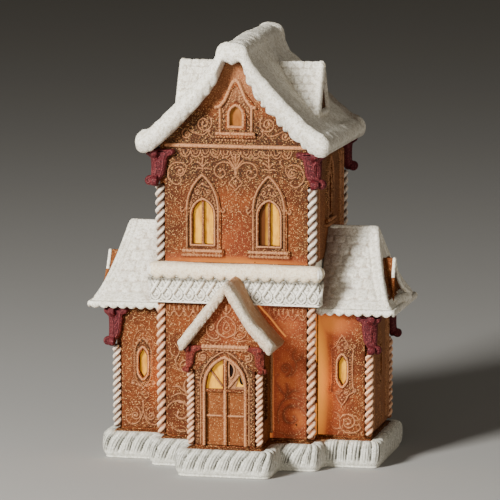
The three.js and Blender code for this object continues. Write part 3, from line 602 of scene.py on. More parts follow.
def round_bar(path: Array, radius: Array, squash: tuple[float, float] = (1.0, 1.0),
              up: Place = (0.0, 0.0, 1.0)) -> Skin:
    """A bar along a path in space, whose section is a ring of twelve points.

    Args:
        path: The points of its middle line.
        radius: Its radius at each of them.
        squash: The ring's half axes across the path and along its normal, as shares of the radius.
        up: A direction that the path never runs along.

    Returns:
        The closed skin.
    """
    along = np.gradient(path, axis=0)
    along /= np.linalg.norm(along, axis=1, keepdims=True)
    across = np.cross(along, np.array(up))
    across /= np.maximum(np.linalg.norm(across, axis=1, keepdims=True), 1e-9)
    normal = np.cross(across, along)
    angle = np.linspace(0.0, 2 * math.pi, 12, endpoint=False)[None, :, None]
    return tube_skin(path[:, None] + radius[:, None, None] * (
        squash[0] * across[:, None] * np.cos(angle) + squash[1] * normal[:, None] * np.sin(angle)))


def rim_share(marks: Array, rim: float, least: float = 0.0) -> Array:
    """Share of the full size at each mark: a quarter circle of radius rim at both ends.

    Args:
        marks: Lengths from one end, the last one at the other end.
        rim: How far from each end the rounding reaches.
        least: Square of the smallest share that is left at the ends.

    Returns:
        The share at each mark, from sqrt(least) to 1.
    """
    near = np.clip(np.minimum(marks, marks[-1] - marks) / rim, 0.0, 1.0)
    return np.sqrt(np.clip(1 - (1 - near) ** 2, least, 1.0))


def domed(path: Array, radius: float, reach: Optional[float] = None) -> Array:
    """Radii along a path that close its ends as quarter circles."""
    return radius * rim_share(arc_lengths(path), radius if reach is None else reach, 0.0025)


def dome_marks(length: float, rim: float, step: float) -> Array:
    """Marks from 0 to length: crowded at both ends as a quarter circle of radius rim needs."""
    start = rim * (1 - np.cos(np.linspace(0.0, math.pi / 2, 7)))
    middle = np.linspace(rim, length - rim, max(3, int(round((length - 2 * rim) / step)) + 1))[1:-1]
    return np.concatenate([start, middle, length - start[::-1]])


def corner_marks(marks: Array, along: Array, radius: float) -> Array:
    """Marks drawn in to their middle near both ends of a sheet, so that its corners are round."""
    half = marks[-1] / 2
    return half + (marks - half)[None, :] * (1 - radius * (1 - rim_share(along, radius)) / half)[:, None]


def smoothed(line: Array, reach: int) -> Array:
    """A polyline after a raised-cosine average over the given number of points to each side."""
    kernel = np.hanning(2 * reach + 1)
    kernel /= kernel.sum()
    padded = np.pad(line, ((reach, reach), (0, 0)), mode="reflect", reflect_type="odd")
    return np.stack([np.convolve(padded[:, k], kernel, mode="valid") for k in range(line.shape[1])], axis=1)


def both_slopes(right: Array, reach: int) -> tuple[Array, Array, Array]:
    """A gable's line over both slopes, from its right half.

    Args:
        right: The line from the ridge to the right eave.
        reach: How many points to each side it is smoothed over.

    Returns:
        The line from the left eave to the right one, the length along it and its outward normals.
    """
    whole = smoothed(np.concatenate([right[::-1] * (-1.0, 1.0), right[1:]]), reach)
    lengths = arc_lengths(whole)
    tangent = np.gradient(whole, lengths, axis=0)
    tangent /= np.linalg.norm(tangent, axis=1, keepdims=True)
    return whole, lengths, np.stack([-tangent[:, 1], tangent[:, 0]], axis=1)


def closed_normals(line: Array, reach: int = 1) -> Array:
    """Unit normals of a closed outline, to the right of its way round."""
    along = np.roll(line, -reach, axis=0) - np.roll(line, reach, axis=0)
    along /= np.maximum(np.linalg.norm(along, axis=1, keepdims=True), 1e-9)
    return np.stack([along[:, 1], -along[:, 0]], axis=1)


# ------------------------------------------------------------------------------ materials
@dataclass
class Recipe:
    """A material's node tree, with short calls for the nodes that the finishes use."""

    name: str

    def __post_init__(self) -> None:
        """Makes the material with its shader and its coordinates."""
        self.material = bpy.data.materials.new(self.name)
        self.material.use_nodes = True
        self.nodes = self.material.node_tree.nodes
        self.shader = self.nodes["Principled BSDF"]
        self.coordinates: Socket = self.nodes.new("ShaderNodeTexCoord").outputs["Object"]

    def link(self, source: Socket, target: Socket) -> None:
        """Joins two sockets."""
        self.material.node_tree.links.new(source, target)

    def feed(self, socket: Socket, value: object) -> None:
        """Links a socket, or sets its value."""
        if isinstance(value, bpy.types.NodeSocket):
            self.link(value, socket)
        elif isinstance(value, tuple) and len(value) == 3:
            socket.default_value = (*value, 1.0) if len(socket.default_value) == 4 else value
        else:
            socket.default_value = value

    def noise(self, size: float, detail: float = 3.0, rough: float = 0.6,
              stretch: Optional[Place] = None) -> Socket:
        """Noise whose features are about size mm across, stretched along the axes if given."""
        node = self.nodes.new("ShaderNodeTexNoise")
        node.inputs["Scale"].default_value = 1.0 / (size * MM)
        node.inputs["Detail"].default_value = detail
        node.inputs["Roughness"].default_value = rough
        source = self.coordinates
        if stretch is not None:
            mapping = self.nodes.new("ShaderNodeMapping")
            mapping.inputs["Scale"].default_value = stretch
            self.link(self.coordinates, mapping.inputs["Vector"])
            source = mapping.outputs["Vector"]
        self.link(source, node.inputs["Vector"])
        return node.outputs["Fac"]

    def specks(self, size: float, radius: float, share: float) -> Socket:
        """Round specks: 1 inside radius of a random cell point, for a share of the cells."""
        cells = self.nodes.new("ShaderNodeTexVoronoi")
        cells.inputs["Scale"].default_value = 1.0 / (size * MM)
        self.link(self.coordinates, cells.inputs["Vector"])
        near = self.step(cells.outputs["Distance"], radius, radius * 0.55)
        split = self.nodes.new("ShaderNodeSeparateColor")
        self.link(cells.outputs["Color"], split.inputs["Color"])
        chosen = self.step(split.outputs["Red"], share, share * 0.6)
        return self.times(near, chosen)

    def step(self, value: Socket, start: float, end: float) -> Socket:
        """0 at start and 1 at end, in a straight line between, whichever is the larger."""
        node = self.nodes.new("ShaderNodeMapRange")
        node.inputs["From Min"].default_value = start
        node.inputs["From Max"].default_value = end
        self.link(value, node.inputs["Value"])
        return node.outputs["Result"]

    def math(self, operation: str, first: object, second: object) -> Socket:
        """Arithmetic on two values."""
        node = self.nodes.new("ShaderNodeMath")
        node.operation = operation
        self.feed(node.inputs[0], first)
        self.feed(node.inputs[1], second)
        return node.outputs[0]

    def times(self, first: object, second: object) -> Socket:
        """The product of two values."""
        return self.math("MULTIPLY", first, second)

    def mix(self, share: object, first: object, second: object) -> Socket:
        """A blend of two colours."""
        node = self.nodes.new("ShaderNodeMix")
        node.data_type = "RGBA"
        self.feed(node.inputs["Factor"], share)
        colour_inputs = [socket for socket in node.inputs if socket.type == "RGBA"]
        self.feed(colour_inputs[0], first)
        self.feed(colour_inputs[1], second)
        return next(socket for socket in node.outputs if socket.type == "RGBA")

    def value(self, name: str) -> Socket:
        """A named value of the mesh."""
        node = self.nodes.new("ShaderNodeAttribute")
        node.attribute_name = name
        return node.outputs["Fac"]

    def bump(self, height: Socket, depth: float, strength: float = 1.0) -> None:
        """Roughens the surface with a height of the given depth in mm."""
        node = self.nodes.new("ShaderNodeBump")
        node.inputs["Distance"].default_value = depth * MM
        node.inputs["Strength"].default_value = strength
        self.link(height, node.inputs["Height"])
        self.link(node.outputs["Normal"], self.shader.inputs["Normal"])

    def finish(self, colour: Socket, roughness: object, **constants: float) -> bpy.types.Material:
        """Feeds the shader and gives back the material."""
        self.link(colour, self.shader.inputs["Base Color"])
        self.feed(self.shader.inputs["Roughness"], roughness)
        for name, constant in constants.items():
            self.shader.inputs[name.replace("_", " ")].default_value = constant
        return self.material


@dataclass(frozen=True)
class GingerbreadFinish:
    """Glittered gingerbread paint: orange to red-brown, darkened in the corners by antique wash and painted
    shade, pale on the relief, with painted glow as emission where the lamp's light is painted on.
    """

    name: str = "glittered_gingerbread"
    warm: Colour = (0.153, 0.0358, 0.0074)
    deep: Colour = (0.088, 0.0180, 0.0038)
    # dark brown mixed in by the dark value: antique wash and painted shade
    wash: Colour = (0.026, 0.012, 0.005)
    pale: Colour = (0.44, 0.207, 0.100)
    # emission colours of the painted glow, from ember red to amber
    speck: Colour = (0.88, 0.49, 0.20)
    ember: Colour = (0.37, 0.060, 0.026)
    amber: Colour = (1.25, 0.46, 0.050)
    glitter: float = 0.62

    def make(self) -> bpy.types.Material:
        """Builds the node material."""
        recipe = Recipe(self.name)
        patch = recipe.step(recipe.noise(22.0, 3.0), 0.42, 0.58)
        ground = recipe.mix(patch, self.warm, self.deep)
        grain = recipe.noise(1.3, 4.0, 0.75)
        ground = recipe.mix(recipe.times(recipe.step(grain, 0.52, 0.72), 0.55), ground, self.wash)
        # antique wash and painted shade, by the dark value
        dark = recipe.times(recipe.value("dark"), recipe.step(grain, 0.2, 0.62))
        ground = recipe.mix(dark, ground, self.wash)
        shine = recipe.value("lit")
        plain = recipe.step(shine, 0.55, 0.1)
        glitter = recipe.times(recipe.specks(0.85, 0.45, 0.30), self.glitter)
        glitter = recipe.times(glitter, plain)
        fine = recipe.times(recipe.specks(0.55, 0.42, 0.36), self.glitter * 0.8)
        fine = recipe.times(fine, plain)
        ground = recipe.mix(glitter, ground, self.speck)
        ground = recipe.mix(fine, ground, self.speck)
        # the pale value holds dry-brushed paint on the relief and painted lifts of light on some faces
        worn = recipe.times(recipe.value("pale"), recipe.step(recipe.noise(1.1, 3.0), 0.30, 0.52))
        colour = recipe.mix(worn, ground, self.pale)
        # painted glow: emission where the lit value paints the lamp's light on
        hot = recipe.mix(recipe.step(shine, 0.3, 1.0), self.ember, self.amber)
        glow = recipe.mix(recipe.step(shine, 0.0, 0.5), (0.0, 0.0, 0.0), hot)
        recipe.link(glow, recipe.shader.inputs["Emission Color"])
        recipe.bump(recipe.math("ADD", grain, recipe.times(glitter, 0.7)), 0.28, 0.8)
        return recipe.finish(colour, recipe.step(glitter, -2.6, 1.0), Specular_IOR_Level=0.12,
                             Emission_Strength=0.8)


@dataclass(frozen=True)
class IcingFinish:
    """White paint with crystal grain, and painted shade mixed in by the dark value: in its hollows, under it
    and in cast shadows.
    """

    name: str = "roof_snow"
    white: Colour = (0.90, 0.87, 0.78)
    grey: Colour = (0.52, 0.47, 0.36)
    # dark colour mixed in by the dark value: painted shade, and for the porch also painted glow
    wash: Colour = (0.12, 0.065, 0.034)
    flecks: float = 0.8
    grain: float = 0.9
    depth: float = 0.34
    roughness: float = 0.8

    def make(self) -> bpy.types.Material:
        """Builds the node material."""
        recipe = Recipe(self.name)
        cloud = recipe.step(recipe.noise(9.0, 4.0, 0.6), 0.42, 0.78)
        colour = recipe.mix(recipe.times(cloud, 0.45), self.white, self.grey)
        fleck = recipe.step(recipe.noise(1.7, 2.0, 0.8), 0.46, 0.60)
        colour = recipe.mix(recipe.times(fleck, self.flecks), colour, self.grey)
        # painted shade by the dark value
        colour = recipe.mix(recipe.value("dark"), colour, self.wash)
        sparkle = recipe.specks(self.grain, 0.42, 0.45)
        # crystal sparkle is left out where painted shade or wash lies
        out_of_wash_and_shade = recipe.step(recipe.value("dark"), 1.1, 0.3)
        colour = recipe.mix(recipe.times(recipe.times(sparkle, out_of_wash_and_shade), 0.5), colour,
                            (0.95, 0.95, 0.92))
        grain = recipe.noise(self.grain, 3.0, 0.7)
        height = recipe.math("ADD", grain, recipe.times(sparkle, 0.5))
        height = recipe.math("ADD", height, recipe.times(recipe.noise(3.6, 2.0), 1.4))
        recipe.bump(height, self.depth, 0.9)
        return recipe.finish(colour, self.roughness, Specular_IOR_Level=0.2)


@dataclass(frozen=True)
class BracketFinish:
    """Burgundy paint, worn paler on raised edges and darkened by painted shade in the hollows."""

    name: str = "burgundy"
    body: Colour = (0.085, 0.006, 0.010)
    deep: Colour = (0.024, 0.002, 0.003)
    worn: Colour = (0.30, 0.075, 0.075)

    def make(self) -> bpy.types.Material:
        """Builds the node material."""
        recipe = Recipe(self.name)
        grain = recipe.noise(1.2, 4.0, 0.7)
        colour = recipe.mix(recipe.step(grain, 0.42, 0.66), self.body, self.deep)
        # painted shade in the hollows, by the dark value
        colour = recipe.mix(recipe.times(recipe.value("dark"), 0.8), colour, self.deep)
        worn = recipe.times(recipe.value("pale"), recipe.step(recipe.noise(0.9), 0.42, 0.95))
        colour = recipe.mix(worn, colour, self.worn)
        colour = recipe.mix(recipe.times(recipe.specks(0.9, 0.42, 0.5), 0.7), colour, self.worn)
        recipe.bump(recipe.math("ADD", grain, recipe.noise(2.6)), 0.5, 0.9)
        return recipe.finish(colour, 0.6, Specular_IOR_Level=0.2)


@dataclass(frozen=True)
class PaneFinish:
    """A translucent amber pane lit from behind, its light painted on as emission, with faint streaks and,
    where shade_x is given, painted shade from the reveal towards one side.
    """

    name: str = "amber_pane"
    bright: Colour = (0.62, 0.30, 0.022)
    dim: Colour = (0.36, 0.135, 0.008)
    shade: Colour = (0.07, 0.020, 0.004)
    shade_x: Optional[tuple[float, float]] = None
    glow: float = 0.6
    streak: float = 3.0

    def make(self) -> bpy.types.Material:
        """Builds the node material."""
        recipe = Recipe(self.name)
        streaks = recipe.noise(self.streak, 3.0, 0.6, stretch=(1.0, 1.0, 0.35))
        colour = recipe.mix(recipe.step(streaks, 0.38, 0.70), self.bright, self.dim)
        # painted shade of the window's reveal over one side of the pane
        if self.shade_x is not None:
            split = recipe.nodes.new("ShaderNodeSeparateXYZ")
            recipe.link(recipe.coordinates, split.inputs[0])
            near = recipe.step(split.outputs["X"], self.shade_x[0] * MM, self.shade_x[1] * MM)
            colour = recipe.mix(near, colour, self.shade)
        # the pane's colour is also its emission: painted glow
        recipe.link(colour, recipe.shader.inputs["Emission Color"])
        recipe.bump(recipe.noise(0.8), 0.1, 0.5)
        return recipe.finish(colour, 0.45, Emission_Strength=self.glow, Specular_IOR_Level=0.06)


@dataclass(frozen=True)
class FloorFinish:
    """A plain pale studio floor."""

    name: str = "studio_floor"
    tone: Colour = (0.36, 0.355, 0.345)

    def make(self) -> bpy.types.Material:
        """Builds the node material."""
        recipe = Recipe(self.name)
        colour = recipe.mix(recipe.times(recipe.noise(120.0, 2.0), 0.15), self.tone, (0.32, 0.315, 0.305))
        return recipe.finish(colour, 0.85)


@dataclass
class Palette:
    """Every finish of the house, made once."""

    def __post_init__(self) -> None:
        """Makes the materials."""
        self.gingerbread = GingerbreadFinish().make()
        self.dark_gingerbread = GingerbreadFinish(
            "dark_gingerbread", (0.10, 0.035, 0.014), (0.055, 0.018, 0.008), (0.018, 0.008, 0.004),
            glitter=0.4).make()
        self.door = GingerbreadFinish("door_gingerbread", (0.19, 0.056, 0.013), (0.15, 0.040, 0.009),
                                      glitter=0.45).make()
        self.snow = IcingFinish().make()
        # a browner shade colour for the painted shadow of the tower on the wing roofs
        self.wing_snow = IcingFinish("wing_snow", wash=(0.145, 0.050, 0.017)).make()
        self.trim = IcingFinish("trim_icing", (0.88, 0.85, 0.77), wash=(0.09, 0.075, 0.052), flecks=0.35,
                                grain=1.4, depth=0.14).make()
        # a warmed copy of the icing for the roll: painted light from the windows' glow
        self.roll = IcingFinish("glow_warmed_icing", (0.86, 0.75, 0.56), (0.60, 0.47, 0.32), (0.10, 0.08, 0.055),
                                grain=1.4, depth=0.2).make()
        # its shade colour is orange brown: painted shade and painted glow on the slope behind the rim
        self.porch = IcingFinish("porch_icing", (0.70, 0.61, 0.48), (0.42, 0.33, 0.23), (0.37, 0.185, 0.080),
                                 grain=1.3, depth=0.6).make()
        self.piped = IcingFinish("piped_icing", (0.68, 0.67, 0.60), (0.44, 0.43, 0.36), (0.040, 0.038, 0.030),
                                 grain=1.6, depth=0.16, roughness=0.7).make()
        self.rope = IcingFinish("rope_icing", (0.78, 0.68, 0.58), (0.50, 0.38, 0.28), (0.10, 0.050, 0.030),
                                grain=1.2, depth=0.2, roughness=0.6).make()
        # a warmed copy of the rope icing for the columns beside the glowing walls: painted glow
        self.glow_warmed_rope = IcingFinish("glow_warmed_rope_icing", (0.80, 0.50, 0.32), (0.52, 0.26, 0.13),
                                     (0.20, 0.062, 0.022), grain=1.2, depth=0.16, roughness=0.6).make()
        self.bracket = BracketFinish().make()
        self.porch_bracket = BracketFinish("crimson", (0.125, 0.011, 0.007), (0.035, 0.004, 0.002),
                                           (0.36, 0.10, 0.06)).make()
        # panes with less painted glow, and one with painted shade from its reveal
        self.dim_pane = PaneFinish("dim_amber_pane", (0.10, 0.030, 0.006), (0.06, 0.018, 0.004),
                                   glow=0.08).make()
        self.pane = PaneFinish().make()
        self.half_pane = PaneFinish("half_shaded_pane", shade_x=(22.6, 19.0)).make()
        self.dull_pane = PaneFinish("dull_amber_pane", (0.27, 0.100, 0.020), (0.18, 0.056, 0.010),
                                    glow=0.42).make()
        # near black: painted shade inside the tracery's openings
        self.hollow = PaneFinish("dark_hollow", (0.010, 0.004, 0.003), (0.004, 0.002, 0.001), glow=0.0).make()
        self.floor = FloorFinish().make()


# ------------------------------------------------------------------------------ piped ornament
LANCET_HOOK = Ornament(strokes=(
    (0.75, 1.2, 0.9, -0.85, 2.0, 1.6, -1.6, 3.0, -2.2, 3.6, -0.2, 2.3, 0.7),
))
LANCET_CROWN = Ornament(
    strokes=(
        (0.42, 0.7, 0.55, 0.3, -6.4, 2.0, -8.4, 4.4, -9.6),
        (0.4, 0.6, 0.55, 6.4, -14.6, 7.6, -18.1, 8.6, -23.6),
        (0.5, 0.8, 0.55, 0.0, 1.0, 0.0, 9.4),
        (1.15, 1.1, 0.35, 0.0, 6.2, 0.0, 10.6),
        (0.7, 0.9, 0.4, 0.0, 4.0, 2.2, 6.6, 4.4, 7.2),
        (0.6, 0.85, 0.4, 0.0, 2.6, 2.6, 3.4, 4.8, 2.6),
    ),
    volutes=((3.4, -12.6, 2.7, 90, 80, 1.25, 0.42),),
)
CORNER_SCROLL = Ornament(
    strokes=(
        (0.72, 0.95, 0.55, -6.8, 202.6, -2.0, 204.8, 3.0, 203.4, 5.8, 198.9, 5.2, 193.8, 1.4, 190.2,
         -2.3, 190.6, -3.4, 192.9, -1.9, 194.2),
        (0.6, 0.8, 0.55, -6.8, 202.6, -6.2, 199.4, -3.6, 195.9, 0.6, 196.8),
        (0.55, 0.7, 0.55, -8.4, 203.2, -10.6, 206.0, -9.4, 208.2),
    ),
    volutes=((-2.2, 198.9, 3.5, 90, -60, 1.2, 0.6),),
    dots=(7.6, 201.4, 8.2, 197.0, 7.4, 192.8, 4.6, 189.0, 0.4, 187.6, 4.6, 206.0),
)
FLEUR = Ornament(
    strokes=(
        (0.6, 0.9, 0.55, 0.0, 197.2, 0.0, 206.2),
        (1.25, 1.2, 0.3, 0.0, 205.8, 0.0, 210.8),
        (0.5, 0.7, 0.55, 0.0, 192.6, 0.0, 189.8),
        (0.75, 0.95, 0.35, 0.0, 200.6, 2.6, 204.6, 5.0, 207.4),
        (0.6, 0.85, 0.35, 0.0, 202.6, 2.2, 207.6, 2.6, 210.4),
        (0.66, 0.9, 0.55, 0.4, 196.8, 1.4, 201.4, 5.6, 205.4, 11.0, 204.9, 14.4, 201.0, 13.6, 196.8,
         9.9, 195.3, 7.2, 197.6, 8.4, 200.4, 10.7, 199.8),
    ),
    dots=(6.4, 193.2, 3.6, 190.0, 2.0, 185.6, 12.4, 208.2, 8.6, 208.6, 16.6, 206.0),
)
FLEUR_DROPS = Ornament(
    dots=(0.0, 183.6, 0.0, 180.3, 0.0, 177.0, 0.0, 173.7, 0.0, 170.4,
          3.2, 184.0, 5.8, 188.0, 8.4, 190.4, 4.6, 179.6, 7.0, 176.0, 3.0, 172.4),
    bead=(0.55, 0.6, 0.85),
)
GABLE_BEADS = Ornament(
    dots=(0.0, 252.6, 0.0, 249.6, 2.4, 247.6, 8.4, 240.0, 8.2, 236.4, 8.2, 232.6, 8.2, 229.0),
    bead=(0.65, 0.8, 0.75),
)
GABLE_SCROLL = Ornament(
    strokes=(
        (0.6, 0.8, 0.55, 18.0, 227.0, 22.5, 223.6, 27.6, 224.6, 33.4, 227.6),
        (0.5, 0.7, 0.55, 15.6, 221.8, 18.4, 224.8, 16.8, 227.6),
    ),
    volutes=((21.8, 231.2, 5.9, 90, 40, 1.75, 0.66), (33.6, 223.8, 3.6, 90, -20, -1.4, 0.55)),
    dots=(16.4, 234.6, 27.6, 237.4, 29.6, 231.6, 25.2, 240.2, 38.6, 221.4, 24.6, 221.8, 20.6, 221.6),
)
CARTOUCHE_HEAD = Ornament(
    volutes=((2.3, 5.6, 1.7, 90, 0, -1.2, 0.4),),
    dots=(4.6, 3.4, 2.0, 8.8),
    bead=(0.55, 0.9, 1.0),
)
CARTOUCHE_FOOT = Ornament(
    volutes=((3.0, -4.6, 2.0, 80, 0, 1.3, 0.42),),
    dots=(5.0, -1.6, 1.2, -8.0, 3.8, -7.0),
    bead=(0.55, 0.9, 1.0),
)
CARTOUCHE_CURL = Ornament(volutes=((0.9, -3.4, 1.7, 90, 30, -1.3, 0.45),))
CARTOUCHE_EAR = Ornament(strokes=((0.5, 0.8, 0.55, 0.0, 4.4, 1.6, 6.4, 0.2, 7.8),))
CARTOUCHE_GRAPES = Ornament(dots=(2.2, -5.2, 4.6, -4.4, 0.0, -6.6), bead=(0.85, 1.1, 1.0))
WING_SCROLL = Ornament(
    strokes=(
        (0.7, 0.9, 0.55, -1.6, 30.6, -1.0, 26.0, 2.2, 22.8, 8.0, 22.6, 12.4, 25.2, 11.6, 28.2, 9.8, 27.4),
        (0.65, 0.85, 0.55, -1.2, 32.0, -3.6, 35.6, -6.2, 36.4),
        (0.6, 0.8, 0.55, -0.8, 25.6, -4.4, 25.0, -7.4, 27.4),
        (0.6, 0.8, 0.55, -2.0, 23.4, -3.0, 20.9),
    ),
    volutes=((4.2, 29.6, 6.0, 160, 0, -1.7, 0.7),),
    dots=(-7.8, 29.6, -5.0, 31.6, 11.6, 31.8, 13.2, 22.6, -8.8, 23.4),
)
WING_FOOT = Ornament(
    strokes=(
        (0.55, 0.8, 0.55, 2.0, 29.6, 3.4, 33.6, 6.8, 34.4),
        (0.7, 0.95, 0.55, 0.0, 33.0, 1.2, 28.0, 3.8, 23.8, 8.4, 22.6, 11.8, 25.6, 11.2, 28.6, 9.6, 27.8),
        (0.9, 1.0, 0.35, 0.0, 31.0, 0.0, 39.0),
    ),
    volutes=((5.4, 28.8, 3.5, 90, 70, 1.5, 0.6),),
    dots=(10.4, 31.6, 7.6, 37.4, 12.6, 21.8),
)
BLOCK_SCROLL = Ornament(
    strokes=(
        (0.8, 1.0, 0.55, 29.4, 30.0, 28.6, 38.0, 32.4, 46.0, 38.6, 48.2, 44.4, 46.0),
        (0.95, 1.1, 0.55, 39.4, 42.0, 35.4, 41.6, 32.6, 37.8, 34.0, 32.8, 38.4, 31.0, 41.8, 33.6),
        (1.0, 1.1, 0.3, 33.8, 48.0, 35.6, 53.4, 34.4, 58.0),
        (1.0, 1.1, 0.3, 35.0, 49.6, 39.4, 53.0, 43.6, 52.6),
        (0.85, 1.0, 0.3, 34.6, 48.6, 30.6, 53.0, 27.6, 57.8),
        (0.7, 0.95, 0.55, 34.4, 62.6, 39.4, 64.4, 41.4, 70.4, 38.8, 77.0, 41.6, 82.0),
        (0.7, 0.9, 0.35, 40.8, 73.0, 44.2, 75.0, 45.2, 79.0),
        (0.65, 0.9, 0.55, 30.4, 24.6, 35.6, 22.4, 41.0, 23.0, 45.6, 27.4),
    ),
    volutes=((38.0, 35.0, 10.4, 90, -80, 1.0, 0.8), (34.2, 67.6, 4.9, 270, 0, 1.5, 0.75)),
    dots=(46.0, 50.6, 45.2, 58.0, 28.8, 63.6, 29.0, 74.6, 35.6, 80.6,
          45.6, 66.0, 45.8, 87.0, 38.6, 91.0, 31.0, 86.0, 44.0, 95.4),
    bead=(0.65, 0.8, 0.9),
)
BACK_ORNAMENT = Ornament(
    strokes=(
        (0.85, 1.1, 0.55, 0.0, 26.0, 7.0, 32.0, 9.0, 42.0, 3.0, 52.0, 0.0, 60.0),
        (0.85, 1.1, 0.55, 0.0, 60.0, 3.4, 70.0, 10.6, 74.6, 17.4, 71.0, 19.4, 64.0),
        (0.8, 1.0, 0.55, 0.0, 66.0, 3.0, 78.0, 0.0, 90.0),
    ),
    volutes=((12.6, 62.0, 6.2, 90, 90, 1.6, 0.8), (15.0, 34.0, 5.0, 90, 0, -1.5, 0.75)),
    dots=(0.0, 40.0, 4.4, 84.0, 9.4, 80.0, 14.4, 50.0, 20.4, 44.0),
    bead=(0.7, 0.9, 1.0),
)
PORCH_GABLE = Ornament(
    strokes=(
        (0.72, 1.0, 0.9, 0.0, 107.6, 3.4, 105.4, 6.2, 100.6, 5.0, 95.4, 0.0, 92.8),
        (0.5, 0.8, 0.55, 0.0, 104.0, 2.0, 101.0, 2.4, 98.2, 0.0, 96.4),
        (0.65, 0.9, 0.55, 13.9, 99.8, 12.6, 94.6, 8.4, 92.0, 5.2, 93.6, 7.4, 97.6),
        (0.55, 0.8, 0.55, 4.2, 91.4, 8.4, 90.6, 14.6, 91.8),
        (0.65, 0.9, 0.35, 0.0, 108.4, 2.2, 110.6, 3.4, 113.2),
        (0.5, 0.8, 0.55, 9.2, 82.2, 13.0, 84.0, 17.2, 82.4),
        (1.2, 1.2, 0.3, 0.0, 110.4, 0.0, 115.6),
    ),
    volutes=((10.6, 99.4, 3.2, 90, -100, 1.4, 0.6),),
)
PORCH_SPANDREL = Ornament(volutes=((15.4, 79.6, 3.1, 90, -40, -1.5, 0.6),))
PORCH_BEADS = Ornament(
    dots=(9.4, 79.4, 11.6, 76.4, 17.4, 74.8, 14.0, 73.4, 6.0, 83.0,
          15.6, 96.6, 9.4, 104.6, 4.6, 109.4, 16.6, 91.0, 2.6, 88.4),
    bead=(0.6, 0.8, 1.0),
)


# ------------------------------------------------------------------------------ tower walls
ATTIC = (5.6, 228.7, 237.0, 244.8)  # half width, foot, spring and apex of the attic window


def bow(middle: float, top: float, half: float, drop: float, trim: float, count: int) -> Array:
    """The lower half of an oval from left to right, short at both ends by a share of a half turn."""
    turn = np.linspace(math.pi * (1 + trim), math.pi * (2 - trim), count)
    return np.stack([middle + half * np.cos(turn), top + drop * np.sin(turn)], axis=1)


@dataclass
class Lancet:
    """A paired-light window with a hooded surround, on a wall."""

    u: float
    half: float = 7.2
    bottom: float = 150.0
    spring: float = 170.0
    apex: float = 180.0
    hood_half: float = 11.5
    hood_bottom: float = 146.5
    hood_spring: float = 174.0
    hood_apex: float = 198.0

    def light(self, grow: float = 0.0) -> Array:
        """Outline of the glazed part."""
        return arch(self.half, self.bottom, self.spring, self.apex, grow) + (self.u, 0.0)

    def hood(self, grow: float = 0.0) -> Array:
        """Outline of the whole surround."""
        return arch(self.hood_half, self.hood_bottom, self.hood_spring, self.hood_apex, grow) + (self.u, 0.0)

    def carve(self, ground: Carving) -> None:
        """Carves the surround, its lace, its hooks and its finial into the wall."""
        ground.open(self.light(0.3))
        ground.shade(self.hood(0.4), 0.78)
        arc = self.hood(-0.85)[2:]
        ground.line(arc, 1.1, 1.6, 0.55, 0.9, 4.0)
        ground.line(arc, 0.6, 2.2, 1.0, 0.95)
        for sign in BOTH:
            side = self.u + sign * (self.hood_half - 0.85)
            jamb = [(side, self.hood_bottom), (side, self.hood_spring)]
            ground.line(jamb, 1.0, 1.5, 0.25, 0.95, 4.0)
            ground.line(jamb, 0.5, 1.9, 0.75, 0.95)
        ground.beads(self.light(2.1)[2:], 2.0, 0.5, 0.9, 0.8)
        ground.dots([(self.u, self.hood_apex - 7.4), (self.u, self.hood_apex - 10.4)], 0.75, 1.0)
        LANCET_HOOK.carve(ground, self.u, self.hood_spring, self.hood_half)
        LANCET_CROWN.carve(ground, self.u, self.hood_apex)
        ends, sill_z = self.hood_half + 2.0, self.hood_bottom - 3.8
        ground.beads([(self.u - ends, sill_z), (self.u + ends, sill_z)], 2.15, 1.15, 2.9, 0.75)

    def bars(self, wall: Wall) -> list[Skin]:
        """The linings and sill bars that stand proud of the wall."""
        sill_z = self.hood_bottom - 0.6
        ends = self.hood_half + 2.1
        sill = np.array([(self.u - ends, sill_z), (self.u + ends, sill_z)])
        mullion = [(self.u, self.bottom), (self.u, self.apex - 1.5)]
        return [
            frame_bar(self.light(0.55), wall, 0.72, 0.75, closed=True, bead=0.06),
            frame_bar(sill, wall, 1.25, 2.3, bead=0.12, pitch=2.2),
            # the lower sill bar is darker: painted shadow under the sill
            frame_bar(sill + (0.0, -2.9), wall, 1.1, 2.2, pale=0.7, dark=0.4, bead=0.3,
                      pitch=2.2),
            frame_bar(mullion, wall, 0.95, 0.0, pale=0.45, dark=0.35),
        ]


